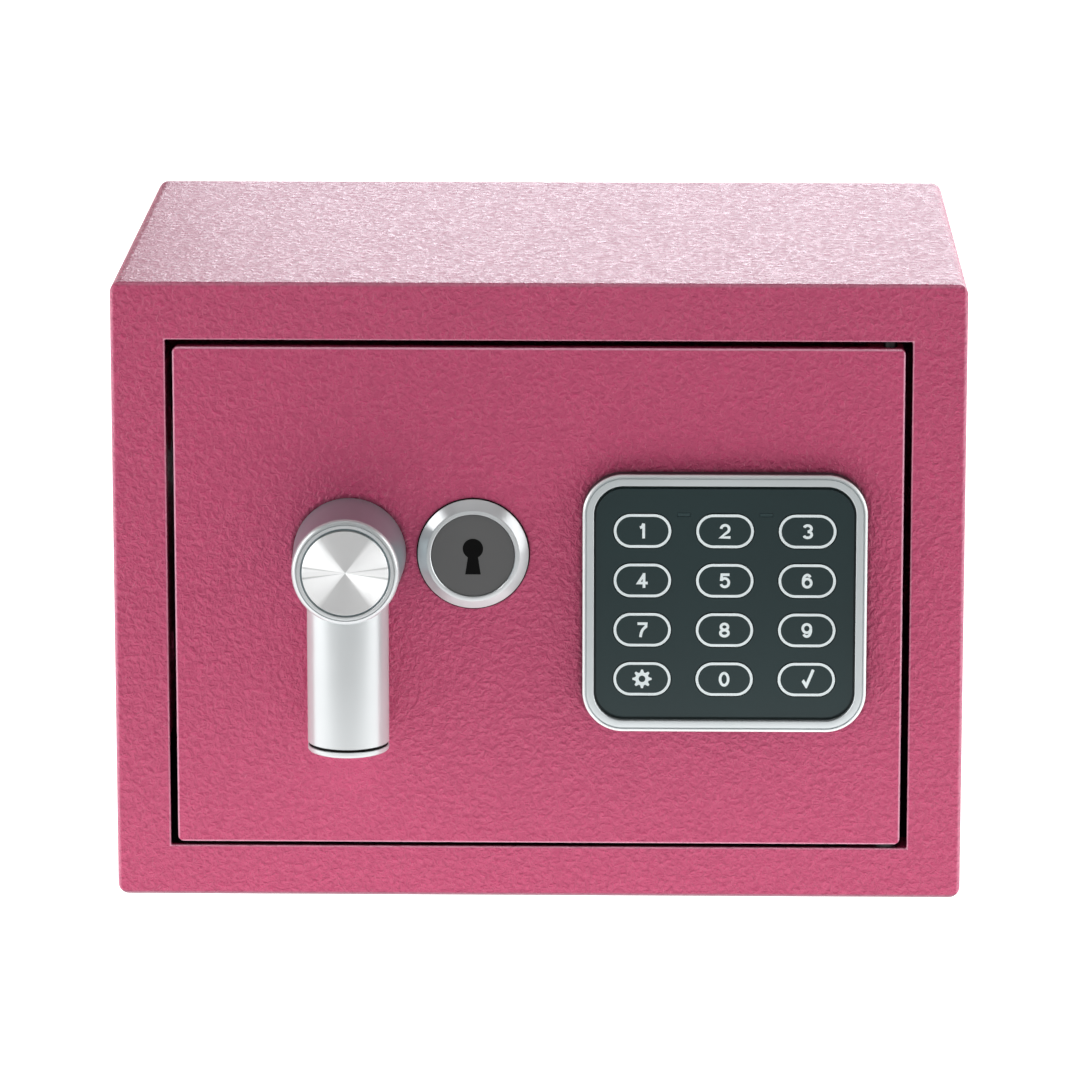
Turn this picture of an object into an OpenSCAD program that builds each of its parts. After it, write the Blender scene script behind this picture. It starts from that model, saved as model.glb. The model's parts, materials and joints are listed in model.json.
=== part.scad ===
// Compact electronic steel safe: a flush hinged door in a welded cabinet, a lever handle that
// throws two locking bolts, an emergency key lock under a pull-off cap, and a keypad.
// Frame: +Z up, the door faces -Y, and the origin is the middle of the base's underside.
// Inside the modules depth is counted from the cabinet's front plane, +Y to the back.

/* [Cabinet] */
// Outside width of the cabinet
cab_w = 230; // [226:1:240]
// Outside height of the cabinet
cab_h = 170; // [168:1:180]
// Outside depth of the cabinet, without the handle and keypad
cab_d = 170; // [150:1:220]
// Thickness of the cabinet's sheet steel
wall = 1.5; // [1.2:0.1:1.8]
// Thickness of the front frame
frame_t = 2; // [1.6:0.1:2]
// Radius of the cabinet's long outside bends
bend_r = 3; // [1.5:0.5:4]
// Distance between the two anchor holes in the base and in the back
anchor_pitch = 120; // [80:5:140]
// Radius of an anchor hole
anchor_r = 5; // [4:0.5:6]

/* [Door] */
// Width of the door opening
open_w = 200.8; // [200.8:0.1:202]
// Height of the door opening's lower edge above the base
open_z0 = 14; // [13.5:0.1:14]
// Height of the door opening's upper edge above the base
open_z1 = 154.4; // [154.4:0.1:155]
// Thickness of the door plate
door_t = 4; // [3:0.5:4]
// Gap between the door and the frame at the sides and top
door_gap = 2; // [1.8:0.1:2]
// Gap under the door, which the hinge washer keeps open
sill_gap = 1.05; // [1.05:0.05:1.5]
// Depth of the inner cover's back face behind the front plane
cover_back = 34; // [34:1:40]
// Sideways place of the hinge line
hinge_x = 94.5; // [94.3:0.1:94.7]
// Depth of the hinge line behind the front plane
hinge_y = 4.5; // [4.4:0.1:4.6]

/* [Handle and bolts] */
// Sideways place of the handle's spindle
handle_x = -51; // [-52:0.25:-50.5]
// Height of the handle, the override lock and the bolt work's cam
lock_z = 96; // [95:0.5:97]
// Radius of the handle's hub at its front
hub_r = 14.45; // [14:0.05:15]
// Radius of the handle's hub at the door
hub_base_r = 15.3; // [15:0.05:16]
// How far the hub stands out of the door
hub_out = 25; // [24:0.5:28]
// Radius of the lever bar
bar_r = 11; // [10:0.25:11]
// Length from the spindle to the tip of the lever
lever_len = 51.5; // [40:0.5:56]
// Radius of a locking bolt
bolt_r = 6; // [5:0.5:6]
// Heights of the two locking bolts
bolt_z = [64, 128]; // [60:1:130]

/* [Keypad and override lock] */
// Sideways place of the keypad's middle
pad_x = 50.3; // [50:0.1:50.5]
// Height of the keypad's middle
pad_z = 83.3; // [82:0.1:85]
// Width of the keypad's bezel
pad_w = 76.6; // [76:0.1:77]
// Height of the keypad's bezel
pad_h = 70.9; // [70:0.1:72]
// How far the bezel stands out of the door
pad_out = 5; // [5:0.5:6]
// Distance between two keys side by side
key_dx = 22.2; // [21:0.1:22.2]
// Distance between two keys one above the other
key_dz = 13.65; // [12:0.05:14]
// Width of a key
key_w = 15.7; // [14:0.1:16]
// Height of a key
key_h = 9.5; // [8:0.1:10]
// How far a key travels
key_travel = 0.6; // [0.4:0.1:0.6]
// Sideways place of the override lock
over_x = -17.6; // [-18:0.1:-17]
// Radius of the ring around the override lock's cap
ring_r = 15; // [14:0.1:15]
// Radius of the override lock's cap
cap_r = 11.25; // [10.5:0.05:11.25]

/* [Hidden] */
$fn = 96;
eps = 0.01;
cut = 1;                 // how far a cutter runs past what it cuts
run = 0.05;              // radial clearance of a running fit

// Door
door_x = open_w / 2 - door_gap;
door_z0 = open_z0 + sill_gap;
door_z1 = open_z1 - door_gap;
door_corner_r = 1.5;
door_rear = door_t;

// Cabinet fittings
in_x = cab_w / 2 - wall;
mat_t = 2;
mat_front = 6;
mat_gap = 3.5;
mat_hole_r = anchor_r + 3;
strike_t = 2;
strike_len = 104;
strike_deep = 24;
bracket_t = 3;
bracket_x0 = hinge_x - 10;
bracket_w = 24;
bracket_deep = 10;
tab_h = 9;
hinge_pin_r = 1.75;
pin_len = 12.4;
pin_head_r = 2.4;
pin_head_h = 1.5;
pin_seat = 9;            // height of the hollow for a pin in the back of the door plate
lug_reach = 6;           // from the hinge line towards the middle of the door
lug_deep = 7;
lug_h = 7.95;
washer_r = 3.3;

// Inner cover
cover_x = 90;
cover_z0 = 24;
cover_z1 = 144;
cover_t = 1.2;
post_x = [-76, 82];
post_z = [29.5, 138.5];
post_r = 3.2;
screw_r = 1.5;

// Bolt work
bolt_y = 14;
bolt_len = 30;
bolt_tip_x = -97.5;
bolt_tail_x = bolt_tip_x + bolt_len;
carriage_t = 2;
carriage_y0 = bolt_y - carriage_t / 2;
bar_t = 5;
bar_deep = 12;
throw = 11;
cam_arm = throw / 2;     // sideways reach of the cam pin from the spindle at both ends of the turn
cam_y0 = 9;
cam_t = 3;
cam_pin_r = 2;
spindle_r = 5;
bush_r = 7;
plunger_x = -45;
plunger_r = 3;
plunger_top = 69;
plunger_travel = 4;
coil_r = 8;
coil_z0 = 36;
coil_z1 = 58;
carriage_low = 70;
notch_w = 8;
notch_h = 6;

// Handle
bar_y = -12.4;
hub_foot = 0.4;
hub_chamfer = 0.6;
disc_r = 11.6;
disc_t = 1.5;
disc_proud = 0.1;        // how far the disc stands before the hub's rim
disc_gap = 0.45;         // the groove around the disc
cap_t = 1.6;
cap_soft = 0.8;          // radius of the cap's lower edge
cap_stem_r = 7;
cap_stem_h = 10;
groove_t = 0.8;
groove_r = bar_r - 0.9;
tip_z = lock_z - lever_len;

// Keypad
pad_r = 11;
panel_w = 70.5;
panel_h = 64.1;
panel_r = 8;
panel_front = -4.2;
panel_t = 1.4;
rebate = 1.25;
key_front = -4.3;
key_gap = 0.2;
flange = 0.8;
flange_t = 0.6;
stud_x = 32.7;
stud_r = 1.5;
key_drop = 0.45;         // the keys sit this much below the panel's middle
lamp_w = 3.5;
lamp_h = 1;
lamp_dz = 24.5;
board_w = 62;
board_h = 56;

// Override lock
barrel_r = 9.5;
barrel_back = 20;
ring_out = 3.2;
ring_flange_r = 14;
plug_r = 5;

// Batteries
cell_r = 7.25;
cell_len = 50.5;
cell_pitch = 15;
bay_x0 = 8;
bay_w = 66;
bay_z0 = 31;
bay_h = 64;
bay_y0 = 16;
bay_wall = 1.5;
bay_back = cover_back - cover_t;
cell_y = bay_y0 + bay_wall + cell_pitch / 2;
window_w = 64;
window_h = 62;
window_x = bay_x0 + bay_w / 2;
window_z = bay_z0 + bay_h / 2;
lid_gap = 0.2;

// Control board
ctl_x0 = 22;
ctl_w = 64;
ctl_z0 = 98;
ctl_h = 34;
ctl_y = 9;
ctl_t = 1.6;
reset_x = 82;
reset_z = 118;
reset_travel = 1.2;

steel_pink = "palevioletred";

// Moves depths counted from the front plane into the model's frame
module from_front() translate([0, -cab_d / 2, 0]) children();

// An outline drawn in x and z, standing between two depths
module upright(y0, y1) translate([0, y1, 0]) rotate([90, 0, 0]) linear_extrude(y1 - y0) children();

// An outline drawn in z and y, standing between two sideways places
module sideways(x0, x1) translate([x0, 0, 0]) rotate([0, 90, 0]) linear_extrude(x1 - x0) children();

// A round bar that points to the back
module y_rod(x, z, r, y0, y1)
    translate([x, y0, z]) rotate([-90, 0, 0]) cylinder(r = r, h = y1 - y0);

// A round bar that runs to the right
module x_rod(y, z, r, x0, x1)
    translate([x0, y, z]) rotate([0, 90, 0]) cylinder(r = r, h = x1 - x0);

// A solid turned around a front-to-back axis: its outline gives radius and depth
module y_turned(x, z) translate([x, 0, z]) rotate([-90, 0, 0]) rotate_extrude() children();

module box(x0, x1, y0, y1, z0, z1) translate([x0, y0, z0]) cube([x1 - x0, y1 - y0, z1 - z0]);

module round_rect(w, h, r) {
    square([w, h - 2 * r], center = true);
    square([w - 2 * r, h], center = true);
    for (i = [-1, 1], j = [-1, 1]) translate([i * (w / 2 - r), j * (h / 2 - r)]) circle(r);
}

// A shape with full-round ends
module pill(w, h) {
    square([w - h, h], center = true);
    for (i = [-1, 1]) translate([i * (w - h) / 2, 0]) circle(h / 2);
}

module cabinet_outline(inset) translate([0, cab_h / 2])
    round_rect(cab_w - 2 * inset, cab_h - 2 * inset, max(bend_r - inset, 0.5));

module opening_outline() translate([-open_w / 2, open_z0]) square([open_w, open_z1 - open_z0]);

module door_outline() translate([0, (door_z0 + door_z1) / 2])
    round_rect(2 * door_x, door_z1 - door_z0, door_corner_r);

module at_anchors() for (i = [-1, 1]) translate([i * anchor_pitch / 2, 0, 0]) children();

// ---- Cabinet ----

module cabinet_wrap() color(steel_pink) from_front() difference() {
    upright(frame_t, cab_d - wall) difference() {
        cabinet_outline(0);
        cabinet_outline(wall);
    }
    at_anchors() translate([0, cab_d / 2, -cut]) cylinder(r = anchor_r, h = wall + 2 * cut);
}

module front_frame() color(steel_pink) from_front() upright(0, frame_t) difference() {
    cabinet_outline(0);
    opening_outline();
}

module back_panel() color(steel_pink) from_front() difference() {
    upright(cab_d - wall, cab_d) cabinet_outline(0);
    at_anchors() y_rod(0, cab_h / 2, anchor_r, cab_d - wall - cut, cab_d + cut);
}

// An angle behind the frame's left border, with the two holes that the locking bolts enter
module strike_plate() color(steel_pink) from_front() difference() {
    union() {
        box(-open_w / 2 - strike_t, -open_w / 2, frame_t, frame_t + strike_deep,
            lock_z - strike_len / 2, lock_z + strike_len / 2);
        box(-in_x + 1, -open_w / 2 - strike_t, frame_t, 2 * frame_t,
            lock_z - strike_len / 2, lock_z + strike_len / 2);
    }
    for (z = bolt_z)
        x_rod(bolt_y, z, bolt_r + 0.6, -open_w / 2 - strike_t - cut, -open_w / 2 + cut);
}

// A hinge bracket: side 1 stands above the opening and side -1 below it
module hinge_bracket(side) {
    z_in = side > 0 ? open_z1 : open_z0;
    color(steel_pink) from_front() difference() {
        union() {
            translate([0, 0, z_in]) mirror([0, 0, side > 0 ? 0 : 1]) {
                box(bracket_x0, bracket_x0 + bracket_w, frame_t, frame_t + bracket_deep, 0, bracket_t);
                box(bracket_x0, bracket_x0 + bracket_w, frame_t, 2 * frame_t, bracket_t - eps, tab_h);
            }
        }
        translate([hinge_x, hinge_y, z_in - tab_h]) cylinder(r = hinge_pin_r + run, h = 2 * tab_h);
        // room for the pin's head, which stands on the far side of the bracket's plate
        translate([hinge_x, hinge_y, z_in]) mirror([0, 0, side > 0 ? 0 : 1])
            translate([0, 0, bracket_t]) cylinder(r = pin_head_r + 0.3, h = tab_h);
    }
}
module hinge_bracket_upper() hinge_bracket(1);
module hinge_bracket_lower() hinge_bracket(-1);

// One headed pin, standing on its head
module hinge_pin() {
    cylinder(r = hinge_pin_r, h = pin_len);
    translate([0, 0, -pin_head_h]) cylinder(r = pin_head_r, h = pin_head_h);
}
module hinge_pins() color("silver") from_front() {
    translate([hinge_x, hinge_y, open_z1 + bracket_t]) mirror([0, 0, 1]) hinge_pin();
    translate([hinge_x, hinge_y, open_z0 - bracket_t]) hinge_pin();
}

module hinge_washer() color("goldenrod") from_front()
    translate([hinge_x, hinge_y, open_z0]) difference() {
        cylinder(r = washer_r, h = sill_gap - run);
        translate([0, 0, -cut]) cylinder(r = hinge_pin_r + run, h = sill_gap + 2 * cut);
    }

module floor_mat() color("dimgray") from_front() difference() {
    box(-in_x + mat_gap, in_x - mat_gap, mat_front, cab_d - wall - mat_gap, wall, wall + mat_t);
    at_anchors() translate([0, cab_d / 2, 0]) cylinder(r = mat_hole_r, h = 10);
}

// ---- Door ----

module door_plate() color(steel_pink) from_front() difference() {
    union() {
        upright(0, door_t) door_outline();
        for (x = post_x, z = post_z) y_rod(x, z, post_r, door_rear - eps, cover_back - cover_t);
    }
    for (x = post_x, z = post_z) y_rod(x, z, screw_r, cover_back - 12, cover_back + cut);
    y_rod(handle_x, lock_z, bush_r, -cut, door_t + cut);
    y_rod(over_x, lock_z, barrel_r, -cut, door_t + cut);
    y_rod(pad_x, pad_z, 5, -cut, door_t + cut);
    for (i = [-1, 1]) y_rod(pad_x + i * stud_x, pad_z, stud_r + 0.2, -cut, door_t + cut);
    // the back of the plate is hollowed at both ends, where the hinge pins pass close behind it
    for (z = [door_z0 - cut, door_z1 - pin_seat]) translate([hinge_x, hinge_y, z])
        cylinder(r = hinge_pin_r + run, h = pin_seat + cut);
}

module hinge_lugs() color(steel_pink) from_front() difference() {
    for (z = [door_z0, door_z1 - 0.4 - lug_h])
        box(hinge_x - lug_reach, door_x - 0.4, door_rear, door_rear + lug_deep, z, z + lug_h);
    translate([hinge_x, hinge_y, 0]) cylinder(r = hinge_pin_r + run, h = cab_h);
}

// Two blocks welded to the door that the bolts run in
module bolt_guides() color("silver") from_front() for (z = bolt_z) difference() {
    box(-86, -80, door_rear, door_rear + 18, z - 9, z + 9);
    x_rod(bolt_y, z, bolt_r + run, -90, -75);
}

// The pan behind the door that hides the bolt work, with holes for the bolts, cells and reset button
module inner_cover() color("dimgray") from_front() difference() {
    box(-cover_x, cover_x, door_rear, cover_back, cover_z0, cover_z1);
    box(-cover_x + cover_t, cover_x - cover_t, door_rear - cut, cover_back - cover_t,
        cover_z0 + cover_t, cover_z1 - cover_t);
    for (z = bolt_z) x_rod(bolt_y, z, bolt_r + 0.5, -cover_x - cut, -cover_x + cover_t + cut);
    for (x = post_x, z = post_z) y_rod(x, z, screw_r + 0.2, cover_back - 2 * cut, cover_back + cut);
    y_rod(reset_x, reset_z, 3.8, cover_back - 2 * cut, cover_back + cut);
    translate([window_x, 0, window_z]) upright(cover_back - 2 * cut, cover_back + cut)
        square([window_w, window_h], center = true);
}

module cover_screws() color("silver") from_front() for (x = post_x, z = post_z) difference() {
    union() {
        y_rod(x, z, screw_r, cover_back - 10, cover_back + eps);
        y_turned(x, z) intersection() {
            translate([0, cover_back - 1.8]) circle(4);
            translate([0, cover_back]) square([3.6, 4]);
        }
    }
    for (a = [0, 90]) translate([x, cover_back + 1.4, z]) rotate([0, a, 0]) cube([3.4, 2, 0.7], center = true);
}

// ---- Keypad ----

module at_pad() translate([pad_x, 0, pad_z]) children();

// Key grid places: column 0 to 2 from the left, row 0 to 3 from the top
function key_x(column) = (column - 1) * key_dx;
function key_z(row) = (1.5 - row) * key_dz - key_drop;

// The two lamps stand between the columns of keys
module at_lamps() for (i = [-1, 1]) translate([i * key_dx / 2, 0, lamp_dz]) children();

module keypad_bezel() color("silver") from_front() at_pad() difference() {
    upright(-pad_out, 0) round_rect(pad_w, pad_h, pad_r);
    upright(-pad_out - cut, cut) round_rect(panel_w, panel_h, panel_r);
    upright(panel_front + panel_t, cut)
        round_rect(panel_w + 2 * rebate, panel_h + 2 * rebate, panel_r + rebate);
}

module keypad_panel() color("darkslategray") from_front() at_pad() difference() {
    union() {
        upright(panel_front, panel_front + panel_t) round_rect(panel_w, panel_h, panel_r);
        upright(panel_front + panel_t, -2)
            round_rect(panel_w + 2 * rebate, panel_h + 2 * rebate, panel_r + rebate);
        for (i = [-1, 1]) y_rod(i * stud_x, 0, stud_r, -2 - eps, door_t + 3.5);
    }
    upright(panel_front + panel_t, -2 + cut) square([board_w, board_h + 3], center = true);
    for (c = [0:2], r = [0:3]) translate([key_x(c), 0, key_z(r)])
        upright(panel_front - cut, 0) pill(key_w + 2 * key_gap, key_h + 2 * key_gap);
    at_lamps() upright(panel_front - cut, 0) square([lamp_w, lamp_h], center = true);
}

module key(column, row) color("darkslategray") from_front() at_pad()
    translate([key_x(column), 0, key_z(row)]) {
        upright(key_front, panel_front + panel_t + 0.05) pill(key_w, key_h);
        upright(panel_front + panel_t + 0.05, panel_front + panel_t + 0.05 + flange_t)
            pill(key_w + 2 * flange, key_h + 2 * flange);
    }
module key_1() key(0, 0);
module key_2() key(1, 0);
module key_3() key(2, 0);
module key_4() key(0, 1);
module key_5() key(1, 1);
module key_6() key(2, 1);
module key_7() key(0, 2);
module key_8() key(1, 2);
module key_9() key(2, 2);
module key_settings() key(0, 3);
module key_0() key(1, 3);
module key_confirm() key(2, 3);

module key_mat() color("gray") from_front() at_pad()
    upright(-1.5, -1.2) square([board_w - 1, board_h - 1], center = true);

module keypad_board() color("darkgreen") from_front() at_pad()
    upright(-1.2, -0.2) square([board_w - 1, board_h], center = true);

module keypad_nuts() color("silver") from_front() for (i = [-1, 1]) difference() {
    translate([pad_x + i * stud_x, 0, pad_z]) upright(door_rear, door_rear + 2.4) circle(3.1, $fn = 6);
    y_rod(pad_x + i * stud_x, pad_z, stud_r, 0, 10);
}

module indicator_lights() color("darkred") from_front() at_pad()
    at_lamps() upright(panel_front + 0.1, -1.5) square([lamp_w, lamp_h], center = true);

// ---- Override lock ----

module override_barrel() color("silver") from_front() difference() {
    union() {
        y_rod(over_x, lock_z, ring_flange_r, -1, 0);
        y_rod(over_x, lock_z, barrel_r, -eps, barrel_back);
    }
    y_rod(over_x, lock_z, plug_r + run, -2, barrel_back + cut);
}

module override_nut() color("silver") from_front() difference() {
    translate([over_x, 0, lock_z]) upright(door_rear, door_rear + 4) circle(13, $fn = 6);
    y_rod(over_x, lock_z, barrel_r, 0, 10);
}

// The ring has a bevelled outside and a shoulder that holds the barrel's flange to the door
module override_ring() color("silver") from_front() y_turned(over_x, lock_z) difference() {
    polygon([[cap_r + 0.1, -ring_out], [cap_r + 1.1, -ring_out], [ring_r, -0.8], [ring_r, 0],
        [ring_flange_r, 0], [ring_flange_r, -1], [cap_r + 0.1, -1]]);
}

module override_cap() color("dimgray") from_front() {
    y_rod(over_x, lock_z, cap_r, -2.8, -1.6);
    difference() {
        y_rod(over_x, lock_z, cap_r, -1.6 - eps, -1.1);
        y_rod(over_x, lock_z, cap_r - 1.2, -1.6, 0);
    }
}

module override_plug() color("gold") from_front() difference() {
    union() {
        y_rod(over_x, lock_z, plug_r, -0.7, barrel_back + 0.2);
        y_rod(over_x, lock_z, plug_r - 1, barrel_back, barrel_back + 2.5);
    }
    box(over_x - 0.6, over_x + 0.6, -2, 14, lock_z - 3.6, lock_z + 3.6);
}

module override_cam() color("silver") from_front() difference() {
    upright(barrel_back + 0.3, barrel_back + 2.3) translate([over_x, lock_z]) {
        circle(6.5);
        translate([0, -3.5]) square([10, 7]);
        translate([10, 0]) circle(3.5);
    }
    y_rod(over_x, lock_z, plug_r - 1, 0, 40);
}

// ---- Handle ----

module hub_turned() y_turned(handle_x, lock_z) children();

// Outline of the hub's tapered side, from the foot to where the front edge is broken
function hub_side() = [[0, -hub_foot], [hub_base_r, -hub_foot], [hub_r, -hub_out + hub_chamfer]];

module handle_hub() color("silver") from_front() difference() {
    hub_turned() difference() {
        polygon(concat(hub_side(), [[hub_r - hub_chamfer, -hub_out], [0, -hub_out]]));
        translate([0, -hub_out - cut]) square([disc_r + disc_gap, cut + disc_t - disc_proud]);
    }
    y_rod(handle_x, lock_z, spindle_r, -14, 0);
}

module handle_face_disc() color("gainsboro") from_front()
    y_rod(handle_x, lock_z, disc_r, -hub_out - disc_proud, -hub_out + disc_t - disc_proud);

module handle_bar() color("silver") from_front() difference() {
    translate([handle_x, bar_y, tip_z + cap_t + groove_t])
        cylinder(r = bar_r, h = lever_len - cap_t - groove_t);
    hub_turned() polygon(concat(hub_side(), [[0, -hub_out + hub_chamfer]]));
    translate([handle_x, bar_y, tip_z]) cylinder(r = cap_stem_r, h = cap_stem_h);
}

module handle_end_cap() color("silver") from_front() translate([handle_x, bar_y, tip_z])
    rotate_extrude() {
        square([bar_r - cap_soft, cap_t]);
        translate([0, cap_soft]) square([bar_r, cap_t - cap_soft]);
        translate([bar_r - cap_soft, cap_soft]) circle(cap_soft, $fn = 32);
        translate([0, cap_t - eps]) square([groove_r, groove_t + eps]);
        square([cap_stem_r, cap_stem_h]);
    }

module handle_spindle() color("silver") from_front()
    y_rod(handle_x, lock_z, spindle_r, -14, cam_y0 + cam_t);

module handle_bush() color("goldenrod") from_front() difference() {
    union() {
        y_rod(handle_x, lock_z, bush_r, 0, cam_y0 - 0.5);
        y_rod(handle_x, lock_z, bush_r + 3, door_rear, door_rear + 2);
    }
    y_rod(handle_x, lock_z, spindle_r + run, -cut, cam_y0 + cut);
}

// At rest the cam's pin is low on the right, and it swings down and left as the lever turns up
module handle_cam() color("silver") from_front() difference() {
    union() {
        upright(cam_y0, cam_y0 + cam_t) translate([handle_x, lock_z]) {
            circle(8);
            rotate(-45) translate([0, -4.2]) square([cam_arm * sqrt(2), 8.4]);
            translate([cam_arm, -cam_arm]) circle(4.2);
        }
        y_rod(handle_x + cam_arm, lock_z - cam_arm, cam_pin_r, cam_y0 + cam_t - eps, cam_y0 + cam_t + 5);
    }
    y_rod(handle_x, lock_z, spindle_r, 0, cam_y0 + cam_t);
}

// ---- Bolt work ----

// The carriage is a plate with an upright slot for the cam pin, a thick bar that carries both
// bolts, and two notches below that the solenoid's plunger enters, one for each end of the throw
module bolt_carriage() color("silver") from_front() difference() {
    union() {
        box(bolt_tail_x, bolt_tail_x + bar_t, bolt_y - bar_deep / 2, bolt_y + bar_deep / 2, 56, 134);
        upright(carriage_y0, carriage_y0 + carriage_t) {
            translate([bolt_tail_x + bar_t - eps, carriage_low]) square([30, 40]);
            translate([bolt_tail_x + bar_t - eps, carriage_low]) square([36.5, 14]);
        }
    }
    upright(0, 30) {
        translate([handle_x + cam_arm, lock_z - 6.6]) rotate(90) pill(12.4, 2 * cam_pin_r + 0.6);
        for (x = [plunger_x, plunger_x + throw])
            translate([x - notch_w / 2, carriage_low - cut]) square([notch_w, notch_h + cut]);
    }
    for (z = bolt_z) x_rod(bolt_y, z, 2.5, bolt_tail_x - cut, bolt_tail_x + bar_t + cut);
}

module locking_bolt(z) color("silver") from_front() difference() {
    union() {
        x_rod(bolt_y, z, bolt_r, bolt_tip_x + 1, bolt_tail_x);
        translate([bolt_tip_x, bolt_y, z]) rotate([0, 90, 0]) cylinder(r1 = bolt_r - 1, r2 = bolt_r, h = 1);
    }
    x_rod(bolt_y, z, 2.5, bolt_tail_x - 12, bolt_tail_x + cut);
}
module locking_bolt_upper() locking_bolt(bolt_z[1]);
module locking_bolt_lower() locking_bolt(bolt_z[0]);

module bolt_screws() color("dimgray") from_front() for (z = bolt_z) {
    x_rod(bolt_y, z, 2.5, bolt_tail_x - 10, bolt_tail_x + bar_t);
    x_rod(bolt_y, z, 4, bolt_tail_x + bar_t, bolt_tail_x + bar_t + 3);
}

module at_plunger() translate([plunger_x, bolt_y, 0]) children();

module solenoid_frame() color("silver") from_front() difference() {
    at_plunger() difference() {
        translate([-10, -10, coil_z0 - 2]) cube([20, 20, coil_z1 - coil_z0 + 4]);
        translate([-8.5, -12, coil_z0]) cube([17, 24, coil_z1 - coil_z0]);
    }
    at_plunger() translate([0, 0, coil_z1 - cut]) cylinder(r = plunger_r + 0.4, h = 6);
}

module solenoid_coil() color("saddlebrown") from_front() at_plunger() difference() {
    translate([0, 0, coil_z0]) cylinder(r = coil_r, h = coil_z1 - coil_z0);
    translate([0, 0, coil_z0 + 3]) cylinder(r = plunger_r + run, h = coil_z1);
}

module solenoid_plunger() color("gainsboro") from_front() at_plunger() {
    translate([0, 0, coil_z0 + 4]) cylinder(r = plunger_r, h = plunger_top - coil_z0 - 4);
    translate([0, 0, coil_z1 + 6.5]) cylinder(r = plunger_r + 2, h = 1);
}

module plunger_spring() color("silver") from_front() at_plunger()
    for (i = [0:3]) translate([0, 0, coil_z1 + 2.5 + 1.15 * i]) rotate_extrude()
        translate([plunger_r + 1, 0]) circle(0.4, $fn = 24);

// ---- Electronics ----

module control_board() color("darkgreen") from_front() {
    box(ctl_x0, ctl_x0 + ctl_w, ctl_y, ctl_y + ctl_t, ctl_z0, ctl_z0 + ctl_h);
    for (x = [ctl_x0 + 5, ctl_x0 + ctl_w - 5], z = [ctl_z0 + 5, ctl_z0 + ctl_h - 5])
        y_rod(x, z, 2.5, door_rear, ctl_y + eps);
    // switch under the reset button, processor and sounder
    box(reset_x - 3, reset_x + 3, ctl_y + ctl_t - eps, 14, reset_z - 3, reset_z + 3);
    box(44, 56, ctl_y + ctl_t - eps, ctl_y + ctl_t + 2.5, 112, 124);
    y_rod(34, 118, 5.5, ctl_y + ctl_t - eps, ctl_y + ctl_t + 7);
    // plug that the keypad's cable goes into
    box(pad_x - 6, pad_x + 6, 5, ctl_y + eps, 101, 107);
}

// A wire along straight stretches that follow the axes, rounded at its corners
module wire(points, r) {
    for (i = [0 : len(points) - 2]) {
        a = points[i];
        d = points[i + 1] - a;
        turn = d[0] != 0 ? [0, d[0] > 0 ? 90 : -90, 0]
             : d[1] != 0 ? [d[1] > 0 ? -90 : 90, 0, 0]
             : [d[2] > 0 ? 0 : 180, 0, 0];
        translate(a) rotate(turn) cylinder(r = r, h = norm(d), $fn = 24);
    }
    for (i = [1 : 1 : len(points) - 2]) translate(points[i]) sphere(r = r, $fn = 24);
}

module wiring_loom() color("firebrick") from_front() {
    wire([[pad_x, -0.2, pad_z], [pad_x, 7, pad_z], [pad_x, 7, 101]], 1.9);
    for (x = [62, 66]) wire([[x, 24, bay_z0 + bay_h], [x, 24, 112], [x, ctl_y + ctl_t, 112]], 1);
    for (s = [0, 4]) wire([[plunger_x + 10, 9.8, 47 + s], [s - 4, 9.8, 47 + s], [s - 4, 9.8, 116 - s],
        [ctl_x0, 9.8, 116 - s]], 0.8);
}

module battery_box() color("dimgray") from_front() difference() {
    box(bay_x0, bay_x0 + bay_w, bay_y0, bay_back, bay_z0, bay_z0 + bay_h);
    box(bay_x0 + bay_wall, bay_x0 + bay_w - bay_wall, bay_y0 + bay_wall, bay_back + cut,
        bay_z0 + bay_wall, bay_z0 + bay_h - bay_wall);
}

function cell_z(i) = window_z + (i - 1.5) * cell_pitch;
cell_x0 = window_x - cell_len / 2;

// Every second cell is turned end for end, so springs and flat contacts take turns
module battery_contacts() color("silver") from_front() for (i = [0:3], side = [-1, 1]) {
    x_end = window_x + side * (bay_w / 2 - bay_wall);
    spring = (i % 2 == 0) == (side < 0);
    translate([x_end - (side > 0 ? 0.4 : 0), cell_y - 5, cell_z(i) - 5]) cube([0.4, 10, 10]);
    for (k = [0 : spring ? 3 : 0])
        translate([x_end - side * (0.9 + 1.25 * k), cell_y, cell_z(i)]) rotate([0, 90, 0])
            rotate_extrude() translate([4.2 - 0.5 * k, 0]) circle(0.5, $fn = 24);
}

module battery_cells() color("peru") from_front() for (i = [0:3]) {
    plus = i % 2 == 0 ? 1 : -1;
    translate([window_x, cell_y, cell_z(i)]) rotate([0, 90 * plus, 0]) rotate_extrude() {
        translate([0, -cell_len / 2]) square([cell_r, cell_len - 1.5]);
        translate([0, cell_len / 2 - 1.5 - eps]) square([2.6, 1.5 + eps]);
    }
}

module battery_cover() color("dimgray") from_front() translate([window_x, 0, window_z]) {
    upright(cover_back - 1, cover_back + 0.8)
        square([window_w - 2 * lid_gap, window_h - 2 * lid_gap], center = true);
    for (i = [0:3]) box(-8, 8, cover_back + 0.8 - eps, cover_back + 1.6, 20 + 2.4 * i, 21.2 + 2.4 * i);
}

module reset_button() color("red") from_front() {
    y_rod(reset_x, reset_z, 3.5, cover_back - 4, cover_back + 1.5);
    y_rod(reset_x, reset_z, 1.5, 14 + reset_travel + 0.2, cover_back - 4 + eps);
}

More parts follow.
